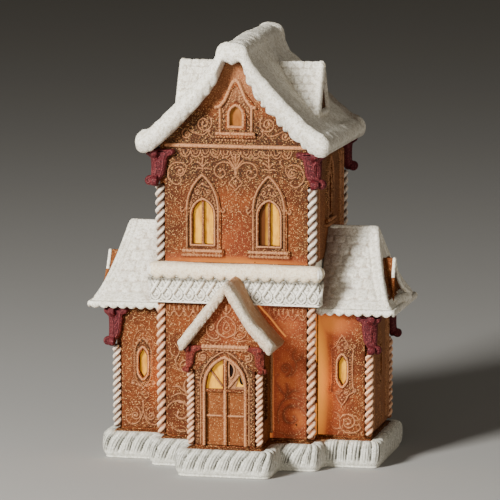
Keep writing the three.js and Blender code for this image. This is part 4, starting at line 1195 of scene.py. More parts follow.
@dataclass
class TowerFace:
    """One carved face of the tower, with its gable if it has one."""

    wall: Wall
    width: float
    gabled: bool
    lancets: list[Lancet]
    seed: int
    step: float = 0.42
    shine: float = 0.8

    def carving(self) -> Carving:
        """The carved ground of the face."""
        half = self.width / 2 - HOUSE.rope - 0.3
        top = 272.0 if self.gabled else 222.0
        ground = Carving(-half, half, HOUSE.tower_bottom, top, self.step)
        if self.gabled:
            slope = gable_slope(2.0)
            keep = np.concatenate([[(-half - 1, 130.0), (half + 1, 130.0)], slope])
            ground.trim(keep)
            self.carve_gable(ground)
            # painted light: the top of the gable is painted paler, to stand lit
            ground.pale += 0.4 * smooth_step(ground.v, 234.0, 262.0)
            # painted glow of the lamp's light above the roll and under the windows
            ground.glow((0.0, 136.5), (62.0, 6.8), self.shine)
            ground.glow((0.0, 148.0), (17.0, 20.0), 0.3 * self.shine)
        else:
            # painted light: the side faces are painted paler all over, to read lighter in their shade
            ground.pale += 0.28
            ground.lace(self.width / 2 - 7.0, self.width / 2 - 16.0, 141.0, 205.0, 143.0, 4.0, 1.2)
        ground.dark += 0.95 * smooth_step(ground.v, 180.0, 200.0) * smooth_step(-ground.v, -250.0, -226.0)
        beside = smooth_step(np.abs(ground.u), 30.0, 46.0) * smooth_step(-ground.v, -190.0, -182.0)
        ground.dark += 0.4 * beside
        self.carve_head(ground)
        for lancet in self.lancets:
            lancet.carve(ground)
        return ground

    def carve_head(self, ground: Carving) -> None:
        """The scallop row, the scrolls and, between two windows, the fleur under the moulding."""
        half, pitch = self.width / 2, 6.9
        count = int((2 * half - 26) // pitch)
        for k in range(count):
            middle = (k - (count - 1) / 2) * pitch
            ground.line(bow(middle, 213.4, 3.45, 4.6, 0.02, 14), 0.5, 0.75, ends=0.9)
            ground.line(bow(middle, 213.2, 1.7, 2.4, 0.02, 14), 0.42, 0.6, ends=0.9)
        CORNER_SCROLL.carve(ground, out=half - 11.5)
        if len(self.lancets) == 2:
            FLEUR.carve(ground)
            FLEUR_DROPS.carve(ground)
            heart = [(0.0, 196.4), (-4.6, 192.0), (0.0, 187.0), (4.6, 192.0), (0.0, 196.4)]
            ground.line(heart, 0.62, 0.95, ends=0.95)
            ground.dots([(0.0, 193.0)], 1.0, 0.9)
            ground.dots([(-10.5, 199.6), (10.5, 199.6)], 0.9, 1.0)

    def carve_gable(self, ground: Carving) -> None:
        """The attic window's surround and the scrolls beside it."""
        ground.open(arch(*ATTIC, 0.3))
        ground.shade([(-10.8, 225.0), (10.8, 225.0), (10.8, 244.5), (0.0, 257.0), (-10.8, 244.5)], 0.66)
        flare = [(13.4, 242.2), (10.4, 243.4), (6.8, 248.2), (4.5, 253.6), (2.2, 258.6), (0.0, 260.4)]
        roof = path_through(flare + [(-u, z) for u, z in flare[-2::-1]])
        ground.line(roof, 1.35, 1.9, 0.75, 0.9, 4.0)
        ground.beads(roof + (0.0, 0.4), 2.3, 1.15, 2.35)
        ground.beads(roof * (0.78, 1.0) + (0.0, -3.6), 2.0, 0.6, 1.0, 0.85)
        ground.beads([(-13.2, 222.8), (13.2, 222.8)], 2.1, 0.95, 2.5, 0.6)
        ground.beads([(-13.2, 220.3), (13.2, 220.3)], 2.1, 0.8, 0.9, 0.7)
        for u in (-10.8, 10.8):
            ground.line([(u, 226.0), (u, 243.4)], 0.9, 1.5, 0.9, 0.95, 4.0)
        GABLE_BEADS.carve(ground)
        GABLE_SCROLL.carve(ground)

    def bars(self) -> list[Skin]:
        """Bars that stand proud of the face."""
        bars = [bar for lancet in self.lancets for bar in lancet.bars(self.wall)]
        if self.gabled:
            bars.append(frame_bar(arch(*ATTIC, -0.55), self.wall, 1.05, 0.55, closed=True))
            ledge = [(-13.4, 224.9), (13.4, 224.9)]
            bars.append(frame_bar(ledge, self.wall, 1.2, 2.0, bead=0.1, pitch=2.2))
        return bars

    def moulding(self) -> Skin:
        """The pale bar across the foot of the gable."""
        half = self.width / 2 - 3.6
        return frame_bar([(-half, 216.3), (half, 216.3)], self.wall, 1.5, 1.05, bead=0.05,
                         pitch=2.6)


def gable_slope(clear: float) -> Array:
    """The right half of the space under the tower roof and its mirror, from right to left."""
    roof = TowerRoof()
    x, z = roof.top_line()
    under = z - roof.vertical_thickness(x) + clear + 5.0 * np.exp(-((x - 6.5) / 6.0) ** 2)
    keep = (x <= HOUSE.tower_half)
    right = np.stack([x[keep], under[keep]], axis=1)[::-1]
    left = right[::-1] * (-1.0, 1.0)
    return np.concatenate([right, left[1:]])


# ------------------------------------------------------------------------------ snow blankets
@dataclass
class TowerRoof:
    """The belled tower roof under its snow, with a cross dormer on each side."""

    apex: float = 286.8
    eave: float = 221.0
    half: float = 66.0
    thick: float = 15.0
    taper: float = 0.45
    front: float = -16.0
    back: float = 110.0
    prow: float = 8.0
    swell: float = 5.0
    swell_width: float = 20.0
    rim: float = 4.6
    eave_rim: float = 4.3
    corner: float = 6.0

    def top_line(self) -> tuple[Array, Array]:
        """Distance from the ridge and height of the outer line, from ridge to eave."""
        v = np.linspace(1.0, 0.0, 160)
        crown = 6.0 * np.exp(-9.0 * (1 - v))
        x = self.half * (1 - v ** 0.83) + crown * (1 - np.exp(-(1 - v) * 90))
        z = self.eave + (self.apex - self.eave) * v - 0.15 * crown
        return x, z

    def vertical_thickness(self, x: Array) -> Array:
        """Thickness of the snow, thinner towards the eave."""
        return self.thick * (1 - self.taper * smooth_step(x, 0.82 * self.half, self.half))

    def skin(self) -> Skin:
        """The snow blanket: a middle surface thickened by half on each side, round at every rim.

        Its ridge swells towards the back, its back rim runs to a prow at each eave, a fat roll runs
        along the front and back rims, and icing drips hang from them.
        """
        x, z = self.top_line()
        right = np.stack([x, z - self.vertical_thickness(x) / 2], axis=1)
        whole, lengths, outward = both_slopes(right, 9)
        marks = dome_marks(lengths[-1], self.eave_rim, 0.95)
        length = self.back - self.front
        along = dome_marks(length, self.rim, 1.5)
        spots = corner_marks(marks, along, self.corner)
        x, z, nx, nz = (np.interp(spots, lengths, values) for values in (*whole.T, *outward.T))
        share = rim_share(along, self.rim)
        fall = self.vertical_thickness(np.abs(x)) / 2 * rim_share(marks, self.eave_rim)[None, :]
        fall = fall * share[:, None]
        fall *= 1 + 0.16 * smooth_step(np.abs(x), 0.8 * self.half, 0.97 * self.half)
        depth = fall * np.clip(np.abs(nz), 0.55, 1.0)
        t = along[:, None] / length
        crown = self.swell * np.sin(0.58 * math.pi * t) * np.exp(-(x / self.swell_width) ** 2)
        y = self.front + along[:, None] + self.prow * np.abs(x) / self.half * smooth_step(t, 0.45, 1.0)
        rounded = 4.0 * smooth_step(t, 0.55, 1.0) * np.exp(-((np.abs(x) - 10.0) / 5.0) ** 2)
        centre = np.stack([x, y, z + crown - rounded], axis=-1)
        out = np.stack([nx, 0 * y, nz], axis=-1)
        drip = self.drips(marks - marks[-1] / 2)[None, :]
        near_rim = sum(np.exp(-((run - 4.2) / 3.4) ** 2)[:, None] for run in (along, length - along))
        top = centre + out * depth[..., None]
        low = centre.copy()
        low[..., 2] -= fall * (1 - 0.62 * np.exp(-((np.abs(x) - 6.5) / 5.5) ** 2))
        low -= out * (drip * near_rim * share[:, None])[..., None]
        low[..., 1] -= 0.7 * drip * np.exp(-((along[:, None] - 3.0) / 3.0) ** 2) * share[:, None]
        soft = depth / depth.max()
        bump = 0.75 * lumps(top, 13.0, 5) + 0.75 * lumps(top, 5.5, 6) + 0.3 * lumps(top, 2.6, 7)
        for run in (along, length - along):
            lip, groove = np.exp(-((run - 4.8) / 4.2) ** 2), np.exp(-((run - 12.0) / 2.4) ** 2)
            bump += (1.5 * lip - 0.9 * groove)[:, None]
        top += out * (bump * soft)[..., None]
        ring = np.concatenate([top, low[:, ::-1][:, 1:-1]], axis=1)
        # painted shade on both slopes behind the rims, and 0.25 of it on the underside
        behind = (smooth_step(along, 9.0, 16.0) * smooth_step(-along, 14.0 - length, 10.0 - length))[:, None]
        shade = 0.62 * behind * smooth_step(np.abs(x), 14.0, 30.0) * (1 - smooth_step(np.abs(x), 58.0, 64.0))
        dark = np.concatenate([shade, 0.25 * np.ones((len(along), top.shape[1] - 2))], axis=1)
        return tube_skin(ring, capped=False, dark=dark)

    def drips(self, places: Array) -> Array:
        """How far the drips hang, over the length of the section from the ridge."""
        right = lobes(places, 7.5, 3.0, 2.0)
        left = lobes(places, 10.5, 2.3, 5.0)
        return np.where(places > 0, right, left) * smooth_step(np.abs(places), 9.5, 15.0)


@dataclass
class GableBlanket:
    """A gabled blanket along one axis: two slopes of even thickness with round rims."""

    profile: Points
    thick: float
    start: float
    end: float
    rim: float
    step: float = 1.2
    lump: float = 0.35
    seed: int = 11
    drip: float = 0.0
    drip_pitch: float = 3.8
    sag: Points = ()
    hollow: float = 3.4
    hollow_u: float = 14.5
    hollow_half: float = 8.5
    tile: float = 0.0

    def skin(self, middle: float = 0.0, along_x: bool = False) -> Skin:
        """The blanket round a gable's outer line, which runs from the ridge to the eave.

        Args:
            middle: Where the ridge lies across the blanket.
            along_x: Whether it runs along X instead of Y.

        Returns:
            The closed skin.
        """
        whole, lengths, outward = both_slopes(path_through(self.profile, 0.5), 4)
        whole = whole - outward * self.thick / 2
        marks = dome_marks(lengths[-1], self.rim, self.step)
        along = dome_marks(self.end - self.start, self.rim, self.step)
        spots = corner_marks(marks, along, 1.3 * self.rim)
        line_u, line_v, out_u, out_v = (
            np.interp(spots, lengths, values) for values in (*whole.T, *outward.T))
        depth = self.thick / 2 * rim_share(marks, self.rim)[None, :] * rim_share(along, self.rim)[:, None]
        run = self.start + along[:, None] + 0 * depth

        def place(offset: Array) -> Array:
            across, height = middle + line_u + out_u * offset, line_v + out_v * offset
            return np.stack([run, across, height] if along_x else [across, run, height], axis=-1)

        top = place(depth)
        soft = depth / depth.max()
        rough = lumps(top, 9.0, self.seed) + 0.5 * lumps(top, 3.2, self.seed + 1)
        top = place(depth + soft * self.lump * rough)
        if self.tile > 0.0:
            slope = np.abs(marks - marks[-1] / 2)[None, :] / self.tile
            row = np.floor(slope)
            across = (along[:, None] / self.tile + 0.5 * (row % 2)) % 1.0
            foot = smooth_step(1 - slope + row - 0.25 * (2 * across - 1) ** 2, 0.0, 0.2)
            body = (1 - np.abs(2 * across - 1) ** 5) * foot
            edge = smooth_step(along, 2.2, 3.4) * smooth_step(self.end - self.start - along, 3.4, 4.6)
            edge = edge[:, None]
            top = place(depth + soft * (0.95 * body * (0.4 + 0.6 * (slope - row)) * edge + 0.9 * (1 - edge))
                        + soft * self.lump * 0.5 * lumps(top, 5.0, self.seed))
            # painted shade in the grooves between the tiles
            wash = 0.42 * (1 - smooth_step(body, 0.1, 0.7)) * edge * soft
        low = place(0 * depth)
        low[..., 2] -= depth / np.clip(np.abs(out_v), 0.5, 1.0)
        if self.sag:
            dip = self.hollow * np.exp(-((line_u - self.hollow_u) / self.hollow_half) ** 2)
            top[..., 2] -= dip
            low[..., 2] -= dip
            across, fall = np.array(self.sag).T
            back = smooth_step(along, 2.0 * self.rim, 5.4 * self.rim)[:, None]
            top[..., 2] -= soft * back * np.maximum(np.interp(np.abs(line_u), across, fall) - dip, 0.0)
        hang = lobes(marks - marks[-1] / 2, self.drip_pitch, self.drip, 1.0) * smooth_step(
            np.abs(marks - marks[-1] / 2), 3.0, 7.0)
        near = (np.exp(-((along - 2.8) / 2.4) ** 2) * rim_share(along, self.rim))[:, None]
        near = near * rim_share(marks, self.rim)
        low[..., 0 if along_x else 1] -= 0.5 * hang[None, :] * near
        low[..., 2] -= hang[None, :] * near
        ring = np.concatenate([top, low[:, ::-1][:, 1:-1]], axis=1)
        # painted shade on the sagged slope behind the front rim, mottled, and on the underside
        shade = 0 * depth
        if self.sag:
            shade = shade + smooth_step(along, 1.4 * self.rim, 7.0 * self.rim)[:, None]
        shade = wash if self.tile > 0.0 else shade * (0.86 + 0.16 * lumps(top, 2.2, self.seed + 2))
        under = np.maximum(0.3, shade[:, 1:-1]) if self.sag else 0.3 * np.ones((len(along), len(marks) - 2))
        dark = np.concatenate([shade, under], axis=1)
        return tube_skin(ring, capped=False, dark=dark)


@dataclass
class WingRoof:
    """A belled, hipped roof with round tiles, fat rims and a scalloped eave; its small end dormer is built by
    WingDormer.
    """

    bottom: float = 104.0
    eave: float = 106.3
    apex: float = 156.6
    eave_x: float = 105.5
    ridge_x: float = 86.0
    reach: float = 9.5
    ridge_half: float = 2.2
    inner: float = 52.3
    tile_width: float = 8.3
    tile_height: float = 8.7
    tile_depth: float = 1.15
    pitch: float = 6.5

    @property
    def eave_half(self) -> float:
        """Half the roof's length along Y at the eave."""
        return (HOUSE.wing_back - HOUSE.wing_front) / 2 + self.reach

    def outline(self, v: Array) -> tuple[Array, Array, Array]:
        """Outer x, half length and height at the height share v from the eave."""
        x = self.eave_x + (self.ridge_x - self.eave_x) * v ** 0.54
        y = self.eave_half + (self.ridge_half - self.eave_half) * v ** 0.83
        return x, y, self.eave + (self.apex - self.eave) * v

    def skin(self, side: Side) -> Skin:
        """The closed roof: rings round three sides, from under the eave over the lip to the ridge.

        Each ring runs along the front, round a small corner, along the end and back. Rows of tiles
        with round lower edges are raised from the front and back slopes.
        """
        v = np.concatenate([np.zeros(9), np.linspace(0.0, 1.0, 76)[1:], [1.0, 1.0]])
        x, y, z = self.outline(v)
        lip = np.linspace(-math.pi / 2, math.pi / 2, 7)
        x[:2], y[:2], z[:2] = x[:2] - (14.0, 3.2), y[:2] - (14.0, 3.2), self.bottom + 1.0
        x[2:9] += 1.7 * (np.cos(lip) - 1) + 0.4
        y[2:9] += 1.7 * (np.cos(lip) - 1) + 0.4
        z[2:9] = self.bottom + 1.9 + 1.9 * np.sin(lip)
        y[-2:], z[-2:] = (1.1, 0.0), (self.apex + 0.9, self.apex + 1.2)
        x[-2:] -= (0.6, 1.2)
        corner = np.minimum(3.0, np.maximum(y - 0.01, 0.0))
        front = np.linspace(0.0, 1.0, 60)
        turn = np.linspace(0.0, math.pi / 2, 7)[1:-1]
        end = np.linspace(0.0, 1.0, 96)
        px = np.concatenate([
            self.inner + (x - corner - self.inner)[:, None] * front,
            (x - corner)[:, None] + corner[:, None] * np.sin(turn),
            x[:, None] + 0 * end,
            (x - corner)[:, None] + corner[:, None] * np.cos(turn),
            self.inner + (x - corner - self.inner)[:, None] * front[::-1],
        ], axis=1)
        py = np.concatenate([
            -y[:, None] + 0 * front,
            -(y - corner)[:, None] - corner[:, None] * np.cos(turn),
            (corner - y)[:, None] + 2 * (y - corner)[:, None] * end,
            (y - corner)[:, None] + corner[:, None] * np.sin(turn),
            y[:, None] + 0 * front,
        ], axis=1)
        pz = z[:, None] + 0 * px
        run = np.cumsum(np.hypot(np.diff(px[4], prepend=px[4][0]), np.diff(py[4], prepend=py[4][0])))
        wave = np.abs(np.sin(math.pi * run / self.pitch))
        pull = np.array([0.4, 1.0, 1.0, 0.8, 0.4, 0.1])
        pz[1:7] -= pull[:, None] * 1.9 * (wave - 0.35)[None, :]
        points = np.stack([px, py, pz], axis=-1)
        points, dark = self.tiled(points, front.size)
        rows, columns = px.shape
        ring = Skin(points.reshape(-1, 3), grid_quads(rows, columns), {"dark": dark.reshape(-1)})
        edge = [row * columns for row in range(rows)]
        far = [row * columns + columns - 1 for row in range(rows)]
        ring.caps = [edge + far[::-1], list(range(columns))]
        return ring.facing_out().on(side, HOUSE.wing_middle)

    def tiled(self, points: Array, width: int) -> tuple[Array, Array]:
        """Raises the tiles along each slope's normal.

        A tile is 1 - |across| ** 5 wide and falls away above a round lower edge, so its foot stands
        proudest. Odd rows are shifted by half a tile. Returns the points and their darkness: painted
        shade in the grooves between the tiles and a painted shadow of the tower on the inner strip.
        """
        normal = np.cross(np.gradient(points, axis=1), np.gradient(points, axis=0))
        normal /= np.maximum(np.linalg.norm(normal, axis=-1, keepdims=True), 1e-9)
        slope = np.cumsum(np.linalg.norm(np.diff(points, axis=0, prepend=points[:1]), axis=-1), axis=0)
        slope = slope - slope[9:10]
        faces = np.zeros(points.shape[1], bool)
        faces[:width] = faces[-width:] = True
        across_all = np.where(faces[None, :], points[..., 0], points[..., 1])
        start = 10.0
        row = np.floor((slope - start) / self.tile_height)
        shift = 0.5 * (row % 2)
        column = (across_all - self.inner) / self.tile_width + shift
        across = 2 * (column - np.floor(column)) - 1
        up = (slope - start) / self.tile_height - row
        round_foot = up - 0.30 * across ** 2
        body = np.clip(1 - np.abs(across) ** 6, 0, 1) * smooth_step(round_foot, -0.04, 0.10) * (1 - 0.45 * up)
        body *= 1 - smooth_step(up, 0.90, 1.0)
        rise = (points[..., 2] - self.eave) / (self.apex - self.eave)
        outer_x, outer_y, _ = self.outline(np.clip(rise, 0, 1))
        to_hip = np.where(faces[None, :], outer_x - points[..., 0], outer_y - np.abs(points[..., 1]))
        ground = smooth_step(slope, start - 0.3, start + 0.3) * smooth_step(to_hip, 6.2, 7.2)
        ground *= np.where(slope > slope[-4:-3] - 5.5, 0.0, 1.0)
        ground = np.where(faces[None, :], ground, 0.6 * ground)
        raised = self.tile_depth * body * ground
        rim = 0.9 * np.maximum(1 - smooth_step(slope, 8.6, 9.6), 1 - smooth_step(to_hip, 4.6, 5.8))
        rim *= smooth_step(slope, 0.0, 1.6)
        noise = 0.28 * lumps(points, 7.0, 21) + 0.14 * lumps(points, 2.4, 22)
        on_top = smooth_step(slope, 0.0, 2.0)
        outward = np.sign(np.einsum("ijk,ijk->ij", normal, points - (70.0, 0.0, 110.0)).mean())
        points = points + outward * normal * (raised + rim + noise * on_top)[..., None]
        # painted shade between the tiles, and the tower's painted shadow on the inner strip of the front and
        # back slopes
        groove = 0.4 * (1 - np.clip(body * 2.2, 0, 1)) * ground
        shadow = 0.8 * (1 - smooth_step(points[..., 0], 54.0, 74.0)) * faces[None, :]
        return points, np.maximum(groove, shadow * on_top)

    def rims(self, side: Side) -> Skin:
        """The snow rims along the ridge and over the edge of both hips."""
        skins = []
        x, y, z = self.outline(np.linspace(0.04, 1.0, 60))
        for sign in BOTH:
            path = resampled(np.stack([x - 1.1, sign * (y - 1.1), z], axis=1), 1.2)
            skins.append(round_bar(path, domed(path, 2.1), up=(1.0, 0.2, 0.0)))
        ridge_z = self.apex - 0.4
        ridge = resampled([(self.inner, 0.0, ridge_z), (self.ridge_x - 0.6, 0.0, ridge_z)], 1.2)
        skins.append(round_bar(ridge, domed(ridge, 2.2)))
        return joined(skins).on(side, HOUSE.wing_middle)


@dataclass
class WingDormer:
    """The little belled dormer on a wing's end slope: a brown body with white rims and a sill."""

    apex: float = 137.6
    foot: float = 111.0
    half: float = 15.0
    face: float = 98.2
    deep: float = 17.0
    forward: float = 7.0

    def edge(self, grow: float) -> Array:
        """The belled gable line from the ridge to the foot, in Y and Z."""
        return path_through([(0.0, self.apex + grow), (self.half * 0.15, self.apex - 5.0 + grow),
                             (self.half * 0.3 + grow * 0.7, self.apex - 10.0 + grow * 0.5),
                             (self.half * 0.48 + grow, self.foot + 10.6),
                             (self.half * 0.72 + grow, self.foot + 5.0),
                             (self.half + grow * 1.5, self.foot - 0.6)], 0.6)

    def rim(self, sign: float) -> Array:
        """The middle line of one rim along the gable line, which leans out at its foot."""
        line = self.edge(0.7)
        share = np.linspace(0, 1, len(line))
        lean = 0.6 + (8.2 * share ** 2.8 if sign > 0 else 1.6 * share ** 2.2)
        return np.stack([self.face + lean, sign * line[:, 0], line[:, 1]], axis=1)

    def trim(self, side: Side) -> Skin:
        """White rims along the gable line, the near one down to its shoulder, and the sill."""
        skins = []
        for sign, share in ((-1.0, 0.5), (1.0, 1.0)):
            path = self.rim(sign)
            path = path[:int(share * len(path))]
            grow = 1.2 + 1.1 * (np.linspace(0, share, len(path)) ** 3 if sign > 0 else 0.0)
            skins.append(round_bar(path, domed(path, 1.0, 1.4) * grow, up=(1.0, 0.0, 0.0)))
        sill = resampled([(self.face + 2.0, -self.half - 1.0, self.foot - 1.6),
                          (self.face + 3.0, 0.0, self.foot - 1.6),
                          (self.face + 7.6, self.half + 1.0, self.foot - 1.2)], 1.0)
        skins.append(round_bar(sill, domed(sill, 3.2, 1.5), squash=(1.0, 1.1)))
        return joined(skins).on(side, HOUSE.wing_middle - self.forward)

    def face_skin(self, side: Side) -> Skin:
        """The brown body with its ribbed boards, as closed rings of the gable line along X."""
        line = self.edge(0.35)
        along = np.linspace(self.face - self.deep, self.face - 0.2, 40)[:, None]
        foot = [(self.half + 0.4, self.foot - 4.0), (-self.half - 0.4, self.foot - 4.0)]
        whole = np.concatenate([line[::-1] * (-1.0, 1.0), line[1:], foot])
        wave = np.cos(2 * math.pi * along / 2.6)
        y = whole[None, :, 0] * (1 + 0.22 * wave / 19.0)
        points = np.stack([along + 0 * y, y, whole[None, :, 1] + 0.22 * wave], axis=-1)
        body = tube_skin(points, dark=np.broadcast_to(0.25 + 0.25 * wave, y.shape))
        worn = self.rim(-1.0)
        worn = worn[int(0.42 * len(worn)):]
        bar = round_bar(worn, domed(worn, 1.3, 1.4), up=(1.0, 0.0, 0.0))
        front = [skin.on(side, HOUSE.wing_middle - self.forward) for skin in (body, bar)]
        return joined([*front, self.slope_boards().on(side, HOUSE.wing_middle)])

    def slope_boards(self) -> Skin:
        """Brown boards over the end slope round the dormer: a thin shell just proud of the slope."""
        v = np.linspace(0.13, 0.60, 34)
        x, y, z = WingRoof().outline(v)
        share = np.linspace(-1.0, 1.0, 61)
        across = share[None, :] * (y - 3.4)[:, None]
        rib = 0.25 * np.cos(2 * math.pi * across / 3.1) + 0.15 * np.cos(2 * math.pi * v * 9.0)[:, None]
        out = x[:, None] + 1.1 * (1 - share[None, :] ** 8) + rib
        ring_x = np.concatenate([out, 0 * out + x[:, None] - 3.0], axis=1)
        ring_y = np.concatenate([across, across[:, ::-1]], axis=1)
        points = np.stack([ring_x, ring_y, np.broadcast_to(z[:, None], ring_x.shape)], axis=-1)
        return tube_skin(points, dark=np.concatenate([0.45 - 1.6 * rib, 0.5 + 0 * rib], axis=1))


# ------------------------------------------------------------------------------ icing trim
@dataclass
class Cornice:
    """The lattice frieze and the fat wavy roll over it, at the front or the back."""

    back: bool

    def place(self, points: Array) -> Array:
        """Turns points about the house's middle for the back."""
        if not self.back:
            return points
        out = points.copy()
        out[..., 0] *= -1
        out[..., 1] = HOUSE.depth - out[..., 1]
        return out

    def frieze(self) -> Skin:
        """The lattice band, bent round both corners: a chain of leaning loops with beads between them."""
        h = HOUSE
        side = h.frieze_lip + h.frieze_wrap - 0.2
        ground = Carving(-h.frieze_half - side, h.frieze_half + side, h.frieze_bottom, h.frieze_top + 0.1,
                         0.36)
        pitch = 2 * h.frieze_half / 15.0
        loop = [(-3.97, 127.0), (-2.8, 125.4), (-0.7, 121.8), (2.3, 118.4), (2.4, 115.2), (-0.3, 113.0),
                (-2.9, 115.5), (-2.5, 119.0), (0.3, 123.2), (2.5, 126.2), (3.7, 127.0)]
        for k in range(17):
            middle = (k - 8) * pitch
            ground.line(path_through(loop) + (middle, 0.0), 0.9, 0.9, ends=1.0)
            ground.line([(middle - 3.0, 117.6), (middle + 2.8, 126.8)], 1.7, 1.7, ends=0.85)
            ground.dots([(middle - 3.9, 122.4), (middle - 0.2, 115.8)], 1.0, 1.0)
            ground.line(bow(middle - 0.3, 113.4, 3.6, 1.5, 0.05, 10), 0.6, 0.9, ends=1.0)
        ground.line([(ground.left, 111.3), (ground.right, 111.3)], 0.7, 0.8, ends=1.0)
        s, z, out = ground.u, ground.v, 0.15 + 1.25 * ground.height
        across = np.clip(s, -h.frieze_half, h.frieze_half)
        over = np.abs(s) - np.abs(across)
        bend = smooth_step(over, 0.0, 1.2)
        points = np.stack([across + np.sign(s) * bend * out, -h.frieze_lip + over - (1 - bend) * out, z],
                          axis=-1)
        raised = (ground.height > 0.35).astype(float)
        # painted shade in thin outlines beside the raised lattice, and a painted shadow under the roll
        dark = np.clip(2.2 * blurred(raised, 1) * (1 - raised) + 0.8 * smooth_step(z, 124.8, 126.2), 0.0, 1.0)
        return Skin(self.place(points).reshape(-1, 3), grid_quads(*s.shape), {"dark": dark.reshape(-1)})

    def roll(self) -> Skin:
        """The fat roll: an oval section along X with domed ends, its foot scalloped over the lattice."""
        h = HOUSE
        middle_z = (h.roll_bottom + h.roll_top) / 2
        path = np.linspace(-h.roll_half - 0.4, h.roll_half + 0.4, 260)
        near = np.clip((h.roll_half + 0.4 - np.abs(path)) / 5.6, 0, 1)
        close = np.sqrt(np.clip(1 - (1 - near) ** 2, 0.004, 1))
        angle = np.linspace(0, 2 * math.pi, 40, endpoint=False)
        c, s = np.cos(angle), np.sin(angle)
        half_y, half_z = (h.roll_lip + h.roll_wrap) / 2 + 0.35, (h.roll_top - h.roll_bottom) / 2 + 0.35
        oval = (np.abs(c) ** 2.6 + np.abs(s) ** 2.6) ** (-1 / 2.6)
        y = (h.roll_wrap - h.roll_lip) / 2 + half_y * (oval * c)[None, :] * close[:, None]
        z = middle_z + half_z * (oval * s)[None, :] * close[:, None]
        x = path[:, None] + 0 * y
        foot = smooth_step(-s, 0.25, 0.95)[None, :] * smooth_step(-c, -0.5, 0.2)[None, :]
        wave = np.abs(np.sin(math.pi * (x - 2.0 + 1.2 * np.sin(x / 11.0)) / 8.2)) ** 0.8
        z = z - foot * (2.6 * wave - 1.2)
        points = np.stack([x, y, z], axis=-1)
        swell = 0.35 * lumps(points, 9.0, 41) + 0.12 * lumps(points, 3.0, 42)
        points[..., 1] += swell * c[None, :]
        points[..., 2] += swell * s[None, :] * (s[None, :] > -0.2)
        # painted shade in the dips of the scalloped foot
        dark = np.broadcast_to(0.6 * foot * (1 - wave), y.shape)
        return tube_skin(self.place(points), dark=dark)


